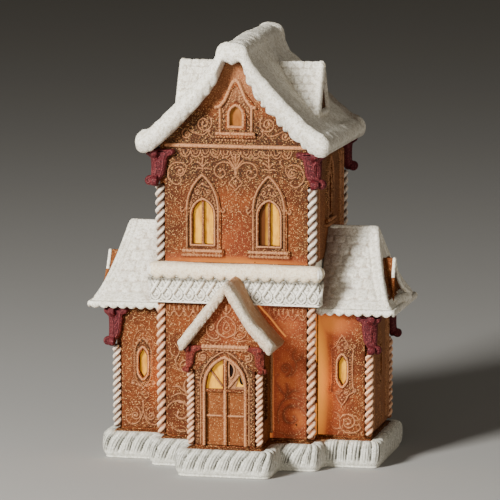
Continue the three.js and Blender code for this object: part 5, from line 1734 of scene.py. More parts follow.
@dataclass
class PipedBase:
    """The stepped icing base: slanted piped ribs with fine grooves, round the whole foot."""

    rib: float = 7.7
    depth: float = 1.5
    slant: float = -0.044
    radius: float = 6.0
    wing_x: float = 94.0
    wing_front: float = 11.5
    wing_back: float = 98.0
    block_x: float = 57.0
    block_front: float = -8.5
    block_back: float = 114.5
    porch_x: float = 31.0
    porch_front: float = -40.8

    def plan(self, grow: float, spacing: float = 0.42) -> Array:
        """The stepped plan, pushed out by grow, with round corners, anticlockwise.

        Every plan has the same number of points on each bend and each straight, so plans of different
        growth join point by point.
        """
        right = [(self.porch_x, self.porch_front), (self.porch_x, self.block_front),
                 (self.block_x, self.block_front), (self.block_x, self.wing_front),
                 (self.wing_x, self.wing_front), (self.wing_x, self.wing_back),
                 (self.block_x, self.wing_back), (self.block_x, self.block_back)]
        corners = np.array(right + [(-x, y) for x, y in right[::-1]])
        edge = np.roll(corners, -1, axis=0) - corners
        counts = np.maximum(8, (np.linalg.norm(edge, axis=1) - 2 * self.radius) / spacing).astype(int)
        edge /= np.linalg.norm(edge, axis=1, keepdims=True)
        before = np.roll(edge, 1, axis=0)
        outward = np.stack([edge[:, 1], -edge[:, 0]], axis=1)
        moved = corners + grow * (outward + np.roll(outward, 1, axis=0))
        convex = before[:, 0] * edge[:, 1] - before[:, 1] * edge[:, 0] > 0
        radius = np.clip(np.where(convex, self.radius + grow, self.radius - grow), 0.8, None)[:, None]
        start, end = moved - before * radius, moved + edge * radius
        t = np.linspace(0, 1, 20)[:, None]
        parts = []
        for k in range(len(corners)):
            parts.append((1 - t) ** 2 * start[k] + 2 * t * (1 - t) * moved[k] + t ** 2 * end[k])
            share = np.linspace(0, 1, counts[k] + 2)[1:-1, None]
            parts.append(end[k] * (1 - share) + start[(k + 1) % len(corners)] * share)
        return np.concatenate(parts)

    def skin(self) -> Skin:
        """Rings up the base, pushed out by its ribs.

        Across a rib the push is 1 - |2f - 1| ^ 4, cut by three fine grooves in its second half. The
        ribs die out into a smooth foot with a thin lip, and arch over at the top.
        """
        level = np.array([0.0, 0.0, 0.35, 0.8, 1.2, 1.7, 2.6, 3.6, 4.8, 6.2, 7.8, 9.4, 11.0, 12.6, 14.0, 15.2,
                          16.2, 17.0, 17.6, 18.0, 18.2, 18.1, 17.8])
        grow = np.array([-4.0, -0.4, 0.3, 0.5, 0.2, 0.5, 1.2, 1.7, 2.0, 2.2, 2.3, 2.3, 2.3, 2.2, 2.0, 1.7,
                         1.2, 0.5, -0.4, -1.4, -2.5, -3.6, -5.0])
        plans = np.stack([self.plan(value) for value in grow])
        middle = self.plan(2.0)
        normal = closed_normals(middle, 2)
        steps = np.linalg.norm(np.roll(middle, -1, axis=0) - middle, axis=1)
        run = np.concatenate([[0.0], np.cumsum(steps)[:-1]]) / steps.sum()
        ribs = round(steps.sum() / self.rib)
        shake = 0.10 * np.sin(run * 61.0) + 0.07 * np.sin(run * 233.0)
        upright = smooth_step(middle[:, 0], 44.0, 62.0) * smooth_step(-middle[:, 1], -60.0, -20.0)
        curve = (self.slant * level - 0.0034 * np.maximum(level - 9.5, 0.0) ** 2)[:, None]
        curve = curve * (1 - 0.8 * upright)[None, :]
        phase = run[None, :] * ribs + curve + shake[None, :]
        share = phase - np.floor(phase)
        bulge = 1 - np.abs(2 * share - 1) ** 4
        grooves = np.zeros_like(share)
        for middle_share, cut, wide in ((0.20, 0.35, 0.045), (0.45, 0.6, 0.05), (0.70, 0.85, 0.06),
                                        (0.95, 1.2, 0.08)):
            grooves += cut * np.exp(-((share - middle_share) / wide) ** 2)
        fade = smooth_step(level, 2.5, 8.0)[:, None]
        upper = np.clip(1 - (np.arange(len(level)) - 18) / 4.0, 0, 1)[:, None]
        out = fade * upper * (self.depth * (bulge - 0.75) - 0.75 * grooves)
        arch_rise = smooth_step(level, 11.0, 17.5)[:, None] * upper
        z = level[:, None] + 1.9 * (bulge - 0.75) * arch_rise - 0.5 * grooves * arch_rise
        xy = plans + normal[None] * out[..., None]
        points = np.concatenate([xy, np.maximum(z, 0.0)[..., None]], axis=-1)
        wobble = 0.28 * lumps(points, 6.0, 51) + 0.14 * lumps(points, 2.2, 52)
        points[..., :2] += (wobble * smooth_step(level, 0.2, 3.0)[:, None] * upper)[..., None] * normal[None]
        # painted shade in the grooves, strongest on the middle band
        middle_band = smooth_step(level, 3.5, 7.0) * (1 - 0.55 * smooth_step(level, 13.5, 18.0))
        dark = np.clip(1.5 * grooves, 0, 1) * middle_band[:, None] * (0.4 + 0.6 * upper)
        return tube_skin(points, dark=dark)

    def ledge(self) -> Skin:
        """The gingerbread ledge between the icing and the foot of the walls: rings drawn inwards."""
        grow = np.array([-4.4, -4.4, -4.8, -6.2, -7.8, -9.6, -9.6])
        z = np.array([14.6, 16.4, 17.6, 18.5, 19.0, 19.6, 16.6])
        plans = np.stack([self.plan(value) for value in grow])
        points = np.concatenate([plans, np.broadcast_to(z[:, None, None], (*plans.shape[:2], 1))], axis=-1)
        points[1:6, :, 2] += 0.45 * lumps(points[1:6], 2.6, 54)
        # painted shade: darker all round, darkest where it tucks under the walls
        dark = np.array([0.8, 0.7, 0.6, 0.65, 0.8, 1.0, 1.0])[:, None]
        return tube_skin(points, looped=True, dark=np.broadcast_to(dark, plans.shape[:2]))


@dataclass
class RopeColumn:
    """A column of two twisted strands."""

    x: float
    y: float
    low: float
    high: float
    strand: float
    offset: float
    pitch: float

    def skin(self) -> Skin:
        """The outer line of two round strands: offset cos a + sqrt(strand^2 - offset^2 sin^2 a), turned
        half round for each pitch. Painted shade follows how deep a point lies between the strands."""
        z = np.arange(self.low, self.high, 0.5)
        angle = np.linspace(0, 2 * math.pi, 28, endpoint=False)
        turn = math.pi * (z - self.low) / self.pitch
        local = angle[None, :] - turn[:, None]
        half = (local + math.pi / 2) % math.pi - math.pi / 2
        reach = self.offset * np.cos(half) + np.sqrt(self.strand ** 2 - (self.offset * np.sin(half)) ** 2)
        near = np.clip(np.minimum(z - self.low + 0.3, self.high - z + 0.3) / 2.2, 0.05, 1.0)
        reach = reach * np.sqrt(near)[:, None] * (1 + 0.03 * np.sin(z * 1.7 + self.x)[:, None])
        x = self.x + reach * np.cos(angle)[None, :]
        y = self.y + reach * np.sin(angle)[None, :]
        points = np.stack([x, y, z[:, None] + 0 * x], axis=-1)
        full = self.offset + self.strand
        dark = smooth_step(full - reach, 0.2, 1.5)
        return tube_skin(points, dark=dark)


@dataclass
class ScrollBracket:
    """A burgundy scroll bracket that wraps a corner: a carved leaf on each of its two walls."""

    x: float
    y: float
    top: float
    reach: float
    drop: float
    past: float
    quarter: int

    def outline(self) -> Array:
        """Side view of one leaf: u out from the wall's corner, v down from the top.

        A flaring top, a waist, a ball at the lower outer end, and a concave inner edge that runs up
        to an arm on the wall.
        """
        past, h, inner = self.past, self.drop + 1.2, self.reach - self.past
        ball = 0.375 * past
        centre = (0.72 * past, -self.drop + ball - 1.3)
        outer = path_through([(past, 1.2), (past + 0.1, -0.09 * h), (0.66 * past, -0.20 * h),
                              (0.43 * past, -0.36 * h), (0.40 * past, -0.56 * h),
                              (centre[0] - 0.05 * past, centre[1] + 0.95 * ball)], 0.6)
        turn = np.linspace(0.52 * math.pi, -0.72 * math.pi, 22)
        ring = np.stack([centre[0] + ball * np.cos(turn), centre[1] + ball * np.sin(turn)], axis=1)
        rest = path_through([tuple(ring[-1]), (0.02 * past, -0.88 * h), (-0.42 * past, -0.66 * h),
                             (-0.54 * past, -0.42 * h), (-0.62 * past, -0.27 * h), (-0.62 * inner, -0.17 * h),
                             (-inner, -0.10 * h), (-inner - 0.9, 0.0), (-inner - 0.2, 1.2)], 0.6)
        return np.concatenate([outer[:-1], ring[:-1], rest])

    def leaf(self) -> Skin:
        """The leaf as rings of its outline, drawn in towards its faces so that every edge is round."""
        line = resampled(np.concatenate([self.outline(), self.outline()[:1]]), 0.6)[:-1]
        area = np.sum(line[:, 0] * np.roll(line[:, 1], -1) - np.roll(line[:, 0], -1) * line[:, 1])
        normal = closed_normals(line) * np.sign(area)
        w = np.array([0.15, 0.4, 1.0, 2.2, 3.3, 4.2, 4.8, 5.05, 5.15]) * self.size
        draw = np.array([0.5, 0.15, 0.0, 0.0, 0.12, 0.5, 1.05, 1.6, 2.1]) * self.size * 0.9
        uv = line[None, :, :] - normal[None, :, :] * draw[:, None, None]
        points = np.stack([uv[..., 0], -w[:, None] + 0 * uv[..., 0], uv[..., 1]], axis=-1)
        pale = np.broadcast_to(np.array([0, 0, 0.1, 0.15, 0.3, 0.8, 1.0, 0.5, 0.1])[:, None], uv.shape[:2])
        return tube_skin(points, pale=pale.copy(), dark=0 * pale)

    @property
    def size(self) -> float:
        """The bracket's scale against the largest one."""
        return 0.55 + 0.45 * (self.past - 5.0) / 4.0

    def veins(self) -> list[Skin]:
        """Raised lines on the leaf's face: a volute on the ball, long ribs and short barbs."""
        past, h, inner = self.past, self.drop + 1.2, self.reach - self.past
        ball = 0.375 * past
        centre = (0.72 * past, -self.drop + ball - 1.3)
        wall = Wall(0.0, 0.0)
        lines = [
            path_through([(0.86 * past, -0.02 * h), (0.5 * past, -0.14 * h), (0.22 * past, -0.32 * h),
                          (0.18 * past, -0.56 * h), (0.30 * past, -0.76 * h)]),
            path_through([(-0.9 * inner, -0.01 * h), (-0.5 * inner, -0.06 * h), (-0.38 * past, -0.24 * h),
                          (-0.30 * past, -0.48 * h), (-0.12 * past, -0.70 * h), (0.20 * past, -0.88 * h)]),
            spiral(centre, ball * 0.66, 120, -1.3, 0.15),
            spiral((-0.86 * inner, -0.03 * h), 0.16 * inner, 0, 1.1, 0.2),
        ]
        lines += [path_through([(-0.18 * past, v * h), (0.0, (v - 0.05) * h), (0.12 * past, (v - 0.02) * h)])
                  for v in (-0.14, -0.26, -0.38, -0.50, -0.62)]
        return [frame_bar(line, wall, 0.5 * self.size + 0.1, 5.1 * self.size, dark=0.2)
                for line in lines]

    def skin(self) -> Skin:
        """Both leaves, one turned onto each wall, then turned to the corner."""
        first = joined([self.leaf(), *self.veins()])
        second = first.turned()
        second.points = first.points[:, [1, 0, 2]] * (-1.0, -1.0, 1.0)
        both = joined([first, second])
        turn = self.quarter * math.pi / 2
        c, s = round(math.cos(turn)), round(math.sin(turn))
        x = both.points[:, 0] * c - both.points[:, 1] * s + self.x
        y = both.points[:, 0] * s + both.points[:, 1] * c + self.y
        both.points = np.stack([x, y, both.points[:, 2] + self.top], axis=1)
        return both


# ------------------------------------------------------------------------------ carved walls
def lens(half: float, low: float, high: float, grow: float = 0.0) -> Array:
    """The closed rounded outline of a narrow window that comes to a point above and below."""
    half, low, high = half + grow, low - 1.3 * grow, high + 1.3 * grow
    middle = (low + high) / 2
    right = [(0.0, high), (0.62 * half, high - 2.2), (0.95 * half, high - 5.2), (half, middle),
             (0.95 * half, low + 5.2), (0.62 * half, low + 2.2), (0.0, low)]
    left = [(-u, v) for u, v in right[-2:0:-1]]
    return path_through(right + left, 0.5, closed=True)


def carve_cartouche(ground: Carving, u: float, rich: bool, low: float = 54.4, high: float = 74.9) -> None:
    """The ornate pointed surround of a slit window, with its crown, lace, curls and pendant."""
    ground.open(lens(3.0, low, high, 0.5) + (u, 0.0))
    width, crown, foot, ear, strength = (7.4, 13.6, 13.4, 1.0, 0.8) if rich else (5.9, 7.6, 6.6, 0.0, 0.5)
    right = path_through([
        (0.0, high + crown), (0.34 * width, high + 0.74 * crown), (0.62 * width, high + 0.46 * crown),
        ((0.92 + 0.1 * ear) * width, high + 4.0 * ear), ((1.0 - 0.02 * ear) * width, high - 4.0 * (1 - ear)),
        (0.94 * width, (low + high) / 2), (0.98 * width, low + 4.0 - 3.0 * ear),
        ((0.86 + 0.2 * ear) * width, low - 3.6 * ear), (0.62 * width, low - 0.46 * foot),
        (0.34 * width, low - 0.74 * foot), (0.0, low - foot)])
    ground.shade(np.concatenate([right, (right * (-1.0, 1.0))[::-1]]) + (u, 0.0), 0.85)
    for sign in BOTH:
        ground.line(right * (sign, 1.0) + (u, 0.0), 0.62, 1.1, strength, 0.9)
        for du, grow, pitch, radius, height, pale in ((5.3, -1.0, 1.9, 0.62, 1.0, strength),
                                                      (6.6, 1.0, 1.5, 0.42, 0.8, 0.6)):
            side = u + sign * du
            ground.beads([(side, low - grow), (side, high + grow)], pitch, radius, height, pale)
        if not rich:
            ogee = [(0.0, high + 13.0), (4.2, high + 10.6), (6.6, high + 5.6), (7.4, high)]
            drop = [(0.0, low - 15.6), (3.6, low - 12.4), (2.8, low - 10.2), (0.0, low - 11.6)]
            for points in (ogee, drop):
                ground.line(path_through(points) * (sign, 1.0) + (u, 0.0), 0.5, 0.6, 0.4)
    CARTOUCHE_HEAD.carve(ground, u, high)
    CARTOUCHE_FOOT.carve(ground, u, low)
    CARTOUCHE_CURL.carve(ground, u, low, width)
    if rich:
        CARTOUCHE_EAR.carve(ground, u, high, width)
    else:
        CARTOUCHE_GRAPES.carve(ground, u, low)
    ground.dots([(u, high + 10.2), (u, high + 7.2), (u, high + 3.6), (u, low - 3.4), (u, low - 6.4),
                 (u, low - 9.6)], 0.7, 1.0)


@dataclass
class WingFace:
    """One carved face of a wing, with its cartouche window and its foot scrolls."""

    wall: Wall
    left: float
    right: float
    window_u: float
    single_scroll: bool
    step: float = 0.4
    glowing: bool = False
    worn: float = 0.0

    def carving(self) -> Carving:
        """The carved ground of the face."""
        ground = Carving(self.left, self.right, HOUSE.floor_z, HOUSE.wing_top - 0.4, self.step)
        # the pale value is worn paint round the lace, and more of it on the right side: painted light lifting
        # its shade
        ground.pale += self.worn
        if self.worn:
            ground.lace(self.right - 2.2, self.right - 9.6, 24.0, 98.0, 27.0, 3.6, 1.0)
        ground.dark += 0.3 * smooth_step(ground.v, 78.0, 98.0)
        carve_cartouche(ground, self.window_u, self.single_scroll)
        # painted glow: the lamp's light from the block's side pane on this wall
        if self.glowing:
            ground.glow((self.left, 58.0), (8.6, 50.0), 1.0)
            ground.glow((self.left + 2.0, 58.0), (16.0, 60.0), 0.5)
            ground.glow((self.left + 8.0, 96.0), (20.0, 11.0), 0.55)
        if self.single_scroll:
            WING_SCROLL.carve(ground, self.window_u, signs=(1.0,))
        else:
            WING_FOOT.carve(ground, self.window_u)
            ground.dots([(self.window_u, 26.6), (self.window_u, 23.6)], 0.6, 0.8)
        return ground

    def bars(self) -> list[Skin]:
        """The window's pale lining."""
        outline = lens(3.0, 54.4, 74.9, 0.8) + (self.window_u, 0.0)
        return [frame_bar(outline, self.wall, 0.85, 0.7, closed=True, bead=0.05)]


@dataclass
class BlockFace:
    """The carved front or back of the lower block, clear of the porch at the front."""

    wall: Wall
    porch: bool
    step: float = 0.4

    def carving(self) -> Carving:
        """The carved ground of the face."""
        half = HOUSE.block_half - HOUSE.rope - 0.3
        ground = Carving(-half, half, HOUSE.floor_z, HOUSE.block_top, self.step)
        pitch = 6.5
        turn = np.linspace(math.pi, 2 * math.pi, 15)
        loop = np.stack([3.2 * np.cos(turn), (5.0 + 1.4 * np.sin(turn) ** 6) * np.sin(turn)], axis=1)
        for k in range(15):
            middle = (k - 7) * pitch
            ground.line(loop + (middle, 107.2), 0.5, 0.8, ends=0.95)
            ground.line([(middle, 108.8), (middle, 104.6)], 0.75, 0.9, ends=0.4)
            ground.dots([(middle + pitch / 2, 104.0)], 0.6, 0.8)
        BLOCK_SCROLL.carve(ground)
        if self.porch:
            ground.open([(-22.6, 0.0), (22.6, 0.0), (22.6, 92.0), (1.6, 118.0), (-22.6, 92.0)])
            self.light_up(ground)
        else:
            BACK_ORNAMENT.carve(ground)
        return ground

    def light_up(self, ground: Carving) -> None:
        """Painted light beside the porch: the lamp's glow leaking out along the joint, drowning the scroll
        there, with bright flare lines.
        """
        for middle, reach, amount in (((23.4, 50.0), (3.4, 46.0), 0.66), ((35.0, 56.0), (18.0, 46.0), 0.38),
                                      ((34.0, 97.0), (16.0, 12.0), 0.39), ((42.0, 34.0), (9.0, 13.0), 0.46)):
            ground.glow(middle, reach, amount)
        raised = np.clip(1.5 * ground.height, 0, 1)
        drowned = raised * (ground.u > 23.0) * smooth_step(-ground.v, -99.0, -92.0)
        ground.pale *= 1 - 0.75 * drowned
        ground.lit *= 1 - 0.35 * drowned
        ground.height *= 1 - 0.5 * drowned
        edge = path_through([(12.6, 112.0), (17.4, 106.6), (22.4, 101.4), (26.8, 96.0), (30.4, 91.8),
                             (33.0, 89.0)])
        for u, v in edge[::5]:
            ground.glow((u + 1.0, v + 0.5), (6.5, 6.5), 0.34)
        # painted highlight: bright flare lines along the roof's edge and the joint
        for path, amount in ((edge + 0.8, 0.75), ([(25.6, 26.0), (25.4, 45.0), (25.6, 62.0)], 0.5)):
            ground.line(path, 0.8, 0.9, 1.0, 0.8)
            for u, v in resampled(path, 0.8):
                away = np.hypot(ground.u - u, ground.v - v)
                ground.flare = np.maximum(ground.flare, amount * np.exp(-(away / 0.95) ** 2))

    def bars(self) -> list[Skin]:
        """The piped lines where the porch meets the wall."""
        if not self.porch:
            return []
        ridge = path_through([(10.6, 116.0), (15.4, 109.4), (20.8, 102.2), (26.0, 95.6), (30.2, 91.4),
                              (33.6, 88.8), (36.0, 86.4)])
        paths = ([(24.4, 24.0), (24.4, 84.0)], ridge * (-1.0, 1.0) + (3.2, 0.0),
                 [(-24.4, 24.0), (-24.4, 84.0)])
        return [frame_bar(path, self.wall, 1.0, 0.8, bead=0.2) for path in paths]


@dataclass
class BlockReturn:
    """The short side of the lower block between its corner column and a wing, with the light of the pane in
    it painted on.
    """

    wall: Wall
    left: float
    right: float

    def carving(self) -> Carving:
        """The plain ground round the pane, painted paler and with a pool of glow."""
        middle = math.copysign(10.5, self.left + self.right)
        ground = Carving(self.left, self.right, HOUSE.floor_z, HOUSE.wing_top - 0.4, 0.5)
        ground.open(arch(3.0, 44.0, 66.0, 71.0, 1.4) + (middle, 0.0))
        ground.glow((middle, 60.0), (30.0, 52.0), 0.8)
        # painted light: paler all over beside the glow
        ground.pale += 0.35
        return ground


@dataclass
class PorchFace:
    """The carved porch front: its gable ornament, the arch and its moulding."""

    half: float = HOUSE.porch_half
    step: float = 0.4

    @property
    def wall(self) -> Wall:
        """The porch's front wall."""
        return Wall(0.0, -HOUSE.porch_reach)

    def doorway(self, foot: float, grow: float = 0.0) -> Array:
        """Outline of the doorway, from the given foot up to its pointed arch."""
        return arch(13.4, foot, 60.0, 79.0, grow)

    def carving(self) -> Carving:
        """The carved ground of the front."""
        half = self.half - HOUSE.rope - 0.35
        ground = Carving(-half - 2.2, half + 2.2, HOUSE.floor_z, 124.0, self.step)
        ground.trim([(-half, 0.0), (half, 0.0), (half, 71.6), (23.0, 71.6), (23.0, 96.0), (1.6, 124.0),
                     (-22.0, 93.0), (-22.0, 71.6), (-half, 71.6)])
        ground.open(self.doorway(18.0, 0.2))
        ground.shade([(-20.0, 20.0), (20.0, 20.0), (20.0, 70.0), (6.0, 84.0), (-6.0, 84.0), (-20.0, 70.0)],
                     0.75)
        # painted glow of the lamp in the porch gable
        ground.glow((1.2, 100.0), (13.0, 17.0), 0.22)
        ground.line(self.doorway(20.6, 3.4)[2:], 0.55, 0.9, 0.8, 0.95)
        for sign in BOTH:
            ground.beads([(sign * 18.0, 24.0), (sign * 18.0, 68.0)], 2.6, 0.65, 0.8, 0.7)
            ground.line([(sign * 16.4, 21.0), (sign * 16.4, 61.0)], 0.55, 0.9, 0.75, 0.95)
        PORCH_GABLE.carve(ground, 1.2)
        PORCH_SPANDREL.carve(ground, 0.4)
        PORCH_BEADS.carve(ground, 0.6)
        ground.dots([(1.2, 108.8), (1.2, 99.4), (1.2, 89.8)], 0.8, 1.0)
        return ground

    def bars(self) -> list[Skin]:
        """The arch, the door's bars, the tracery and the moulding."""
        door = {"bead": 0.05}
        bars = (
            (self.doorway(20.0, 0.6)[2:], 1.15, 0.9, False, {"bead": 0.04}),
            ([(-14.0, 20.4), (-14.0, 60.2)], 1.05, 0.9, False, {"bead": 0.05, "dark": 0.3}),
            ([(14.0, 20.4), (14.0, 60.2)], 1.05, 0.9, False, {"bead": 0.05, "dark": 0.3}),
            ([(0.0, 21.0), (0.0, 79.4)], 1.25, -0.3, False, door),
            ([(-13.2, 57.4), (13.2, 57.4)], 1.0, -0.4, False, door),
            ([(-12.8, 40.2), (12.8, 40.2)], 0.7, -1.2, False, door),
            ([(-9.8, 70.4), (-2.0, 60.0)], 0.8, -1.6, False, {"pale": 0.5, "dark": 0.4}),
            ([(2.0, 59.0), (9.6, 68.4)], 1.0, -1.0, False, {"pale": 0.9}),
            (self.oval(), 0.7, -1.1, True, {"pale": 0.9}),
            ([(-15.4, 87.0), (16.4, 87.0)], 1.7, 1.5, False, {"bead": 0.1, "pitch": 2.6}),
            ([(-15.4, 85.0), (16.4, 85.0)], 1.0, 1.2, False, {"pale": 0.8, "bead": 0.35, "pitch": 2.4}),
        )
        return [frame_bar(path, self.wall, radius, centre_w, closed, **looks)
                for path, radius, centre_w, closed, looks in bars]

    def oval(self) -> Array:
        """Outline of the dark opening in the tracery."""
        return path_through([(2.6, 75.4), (4.6, 75.0), (6.2, 71.6), (5.4, 67.4), (3.8, 65.6), (2.6, 67.4)],
                            0.5, closed=True)

    def tracery(self) -> Skin:
        """The solid right half of the tracery, with an oval and a three-cornered opening."""
        ground = Carving(0.8, 13.4, 58.0, 79.0, 0.3)
        ground.trim(self.doorway(20.6))
        ground.open(self.oval())
        ground.open([(7.2, 60.4), (12.4, 60.4), (9.9, 67.4)])
        ground.height += 0.5
        ground.pale += 0.55
        return ground.skin(Wall(0.0, -HOUSE.porch_reach + 2.0), seed=64)

    def hollows(self) -> Skin:
        """The dark openings of the tracery, as thin near black insets with an outline drawn in to their
        middle: painted shade for the hollow behind.
        """
        wall = self.wall
        wedge = path_through([(9.8, 66.6), (11.8, 61.4), (9.9, 62.0), (9.2, 64.4)], 0.5, closed=True)
        skins = []
        for ring in (self.oval(), wedge):
            middle = ring.mean(axis=0)
            share = np.array([1.0, 0.96, 0.6, 0.05])
            w = np.array([-2.38, -2.25, -2.2, -2.2])
            uv = middle + (ring[None] - middle) * share[:, None, None]
            place = wall.place(uv[..., 0], uv[..., 1], w[:, None] + 0 * uv[..., 0])
            skins.append(tube_skin(place))
        return joined(skins)


# ------------------------------------------------------------------------------ assembly
@dataclass
class GingerbreadHouse:
    """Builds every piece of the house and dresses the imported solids."""

    nodes: dict[str, bpy.types.Object]
    paint: Palette

    def dress(self) -> None:
        """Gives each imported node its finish."""
        for name, node in self.nodes.items():
            node.data.materials.clear()
            node.data.materials.append(self.finish_of(name))

    def finish_of(self, name: str) -> bpy.types.Material:
        """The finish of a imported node: that of the first pattern that its name fits."""
        paint = self.paint
        finishes = {
            "porch_pane*": paint.dim_pane, "tower_pane_attic": paint.dull_pane,
            "tower_pane_side_*": paint.dull_pane, "tower_pane_front_right": paint.half_pane,
            "*pane*": paint.pane, "door_light": paint.pane, "*bracket*": paint.bracket, "*rope*": paint.rope,
            "icing_base": paint.piped, "lattice_frieze": paint.trim, "icing_roll": paint.trim,
            "*roof": paint.snow, "door_leaves": paint.door, "cross_gable*": paint.dark_gingerbread,
            "*_dormer": paint.dark_gingerbread, "*": paint.gingerbread,
        }
        return next(finish for pattern, finish in finishes.items() if fnmatchcase(name, pattern))

    def bake(self, name: str, skin: Skin) -> None:
        """Adds a piece of gingerbread."""
        build(name, skin, self.paint.gingerbread)

    def carve(self, name: str, face: object, seed: int) -> None:
        """Adds a carved skin and its proud bars as one piece each."""
        self.bake(name, face.carving().skin(face.wall, seed))
        bars = face.bars() if hasattr(face, "bars") else []
        if bars:
            self.bake(f"{name}_bars", joined(bars))

    def walls(self) -> None:
        """Carves every wall."""
        h = HOUSE
        middle = h.depth / 2
        pair = [Lancet(-22.6, 7.6), Lancet(22.6, 7.6)]
        single = [Lancet(0.0, 6.6, 166.5, 184.0, 194.0, 10.4, 163.4, 187.0, 207.0)]
        faces = {
            "tower_front": TowerFace(Wall(0.0, 0.0), 104.0, True, pair, 1),
            "tower_back": TowerFace(Wall(0.0, h.depth, Facing.BACK), 104.0, True, pair, 2, 0.6, 0.35),
            "tower_right": TowerFace(Wall(h.tower_half, middle, Facing.RIGHT), h.depth, False, single, 3,
                                     0.6),
            "tower_left": TowerFace(Wall(-h.tower_half, middle, Facing.LEFT), h.depth, False, single, 4, 0.6),
        }
        for name, face in faces.items():
            self.carve(f"{name}_carving", face, face.seed * 7)
            if face.gabled:
                self.bake(f"{name}_moulding", face.moulding())
        self.carve("block_front_carving", BlockFace(Wall(0.0, 0.0), True), 61)
        self.carve("block_back_carving", BlockFace(Wall(0.0, h.depth, Facing.BACK), False, 0.6), 62)
        self.carve("block_right_carving", BlockReturn(Wall(h.block_half, 0.0, Facing.RIGHT), 3.3, 18.8), 65)
        self.carve("block_left_carving", BlockReturn(Wall(-h.block_half, 0.0, Facing.LEFT), -18.8, -3.3), 65)
        self.carve("porch_front_carving", PorchFace(), 63)
        build("door_hollows", PorchFace().hollows(), self.paint.hollow)
        self.bake("door_tracery", PorchFace().tracery())
        inner, outer = h.block_half + 0.4, h.wing_outer - h.rope - 0.35
        length = (h.wing_back - h.wing_front) / 2 - h.rope - 0.35
        wings = {
            "left_wing_front": WingFace(Wall(0.0, h.wing_front), -outer, -inner, -68.8, False),
            "right_wing_front": WingFace(Wall(0.0, h.wing_front), inner, outer, 68.8, True, glowing=True),
            "left_wing_back": WingFace(Wall(0.0, h.wing_back, Facing.BACK), inner, outer, 68.8, True, 0.6),
            "right_wing_back": WingFace(Wall(0.0, h.wing_back, Facing.BACK), -outer, -inner, -68.8, False,
                                        0.6),
            "left_wing_side": WingFace(Wall(-h.wing_outer, h.wing_middle, Facing.LEFT), -length, length, 0.0,
                                       False, 0.6, worn=0.3),
            # the right side's higher value is partly painted light lifting its shade
            "right_wing_side": WingFace(Wall(h.wing_outer, h.wing_middle, Facing.RIGHT), -length, length, 0.0,
                                        False, 0.6, worn=0.5),
        }
        for index, (name, face) in enumerate(wings.items()):
            self.carve(f"{name}_carving", face, 70 + index)

    def roofs(self) -> None:
        """Builds the snow roofs, the dormers and their trim."""
        build("tower_snow", TowerRoof().skin(), self.paint.snow, ["tower_roof"], weld=True)
        gable = [(0.0, 269.4), (3.2, 264.6), (9.6, 252.0), (15.4, 240.0), (19.0, 234.6)]
        blanket = GableBlanket(gable, 5.6, 8.0, 50.4, 2.3, 0.6, 0.4, 91, tile=5.6)
        for side in Side:
            sill = resampled([(side.value * 47.6, 36.0, 235.2), (side.value * 47.6, 64.0, 235.2)], 1.0)
            sill_bar = round_bar(sill, domed(sill, 2.8), squash=(1.3, 0.9))
            skin = joined([blanket.skin(50.0, along_x=True).on(side), sill_bar])
            build(f"cross_dormer_snow_{side.word}", skin, self.paint.snow, weld=True)
            roof, dormer = WingRoof(), WingDormer()
            build(f"{side.word}_wing_snow", roof.skin(side), self.paint.wing_snow,
                  [f"{side.word}_wing_roof"], weld=True)
            rims = joined([roof.rims(side), dormer.trim(side)])
            build(f"{side.word}_wing_rims", rims, self.paint.snow)
            build(f"{side.word}_wing_dormer_boards", dormer.face_skin(side), self.paint.door,
                  [f"{side.word}_wing_dormer"])
        profile = [(0.0, 130.9), (3.6, 127.6), (14.0, 114.2), (24.0, 101.0), (30.4, 92.6), (33.8, 89.4)]
        sag = [(0.0, 0.0), (4.0, 1.8), (7.0, 3.6), (11.0, 5.8), (21.0, 6.2), (25.0, 5.8), (29.0, 4.4),
               (33.0, 2.4)]
        porch = GableBlanket(profile, 6.4, -42.4, -0.2, 3.0, 0.7, 0.55, 95, 1.7, 4.4, sag)
        build("porch_snow", porch.skin(1.6), self.paint.porch, ["porch_roof"], weld=True)

    def trim(self) -> None:
        """Builds the frieze, the rolls, the base, the columns and the brackets."""
        for back in (False, True):
            cornice = Cornice(back)
            where = "back" if back else "front"
            build(f"frieze_lattice_{where}", cornice.frieze(), self.paint.trim)
            build(f"icing_roll_{where}", cornice.roll(), self.paint.roll)
        build("piped_base", PipedBase().skin(), self.paint.piped, ["icing_base"])
        self.bake("foot_ledge", PipedBase().ledge())
        h = HOUSE
        tower = [(-h.tower_half, 0.0), (h.tower_half, 0.0), (h.tower_half, h.depth), (-h.tower_half, h.depth)]
        wing = [(-h.wing_outer, h.wing_front), (h.wing_outer, h.wing_front), (h.wing_outer, h.wing_back),
                (-h.wing_outer, h.wing_back)]
        porch = [(-h.porch_half, -h.porch_reach), (h.porch_half, -h.porch_reach)]
        block = [(-h.block_half, 0.0), (h.block_half, 0.0)]
        columns = {"tower": (tower, h.roll_top + 0.3, 190.0, 1.0, 5.6),
                   "block": (block, h.floor_z, h.frieze_bottom - 0.3, 0.95, 5.6),
                   "wing": (wing, h.floor_z, 77.5, 0.9, 4.8), "porch": (porch, h.floor_z, 70.6, 0.78, 3.9)}
        for name, (places, low, high, size, pitch) in columns.items():
            for x, y in places:
                corner = self.corner(x, y)
                rope = RopeColumn(x, y, low, high, 1.9 * size, 1.4 * size, pitch)
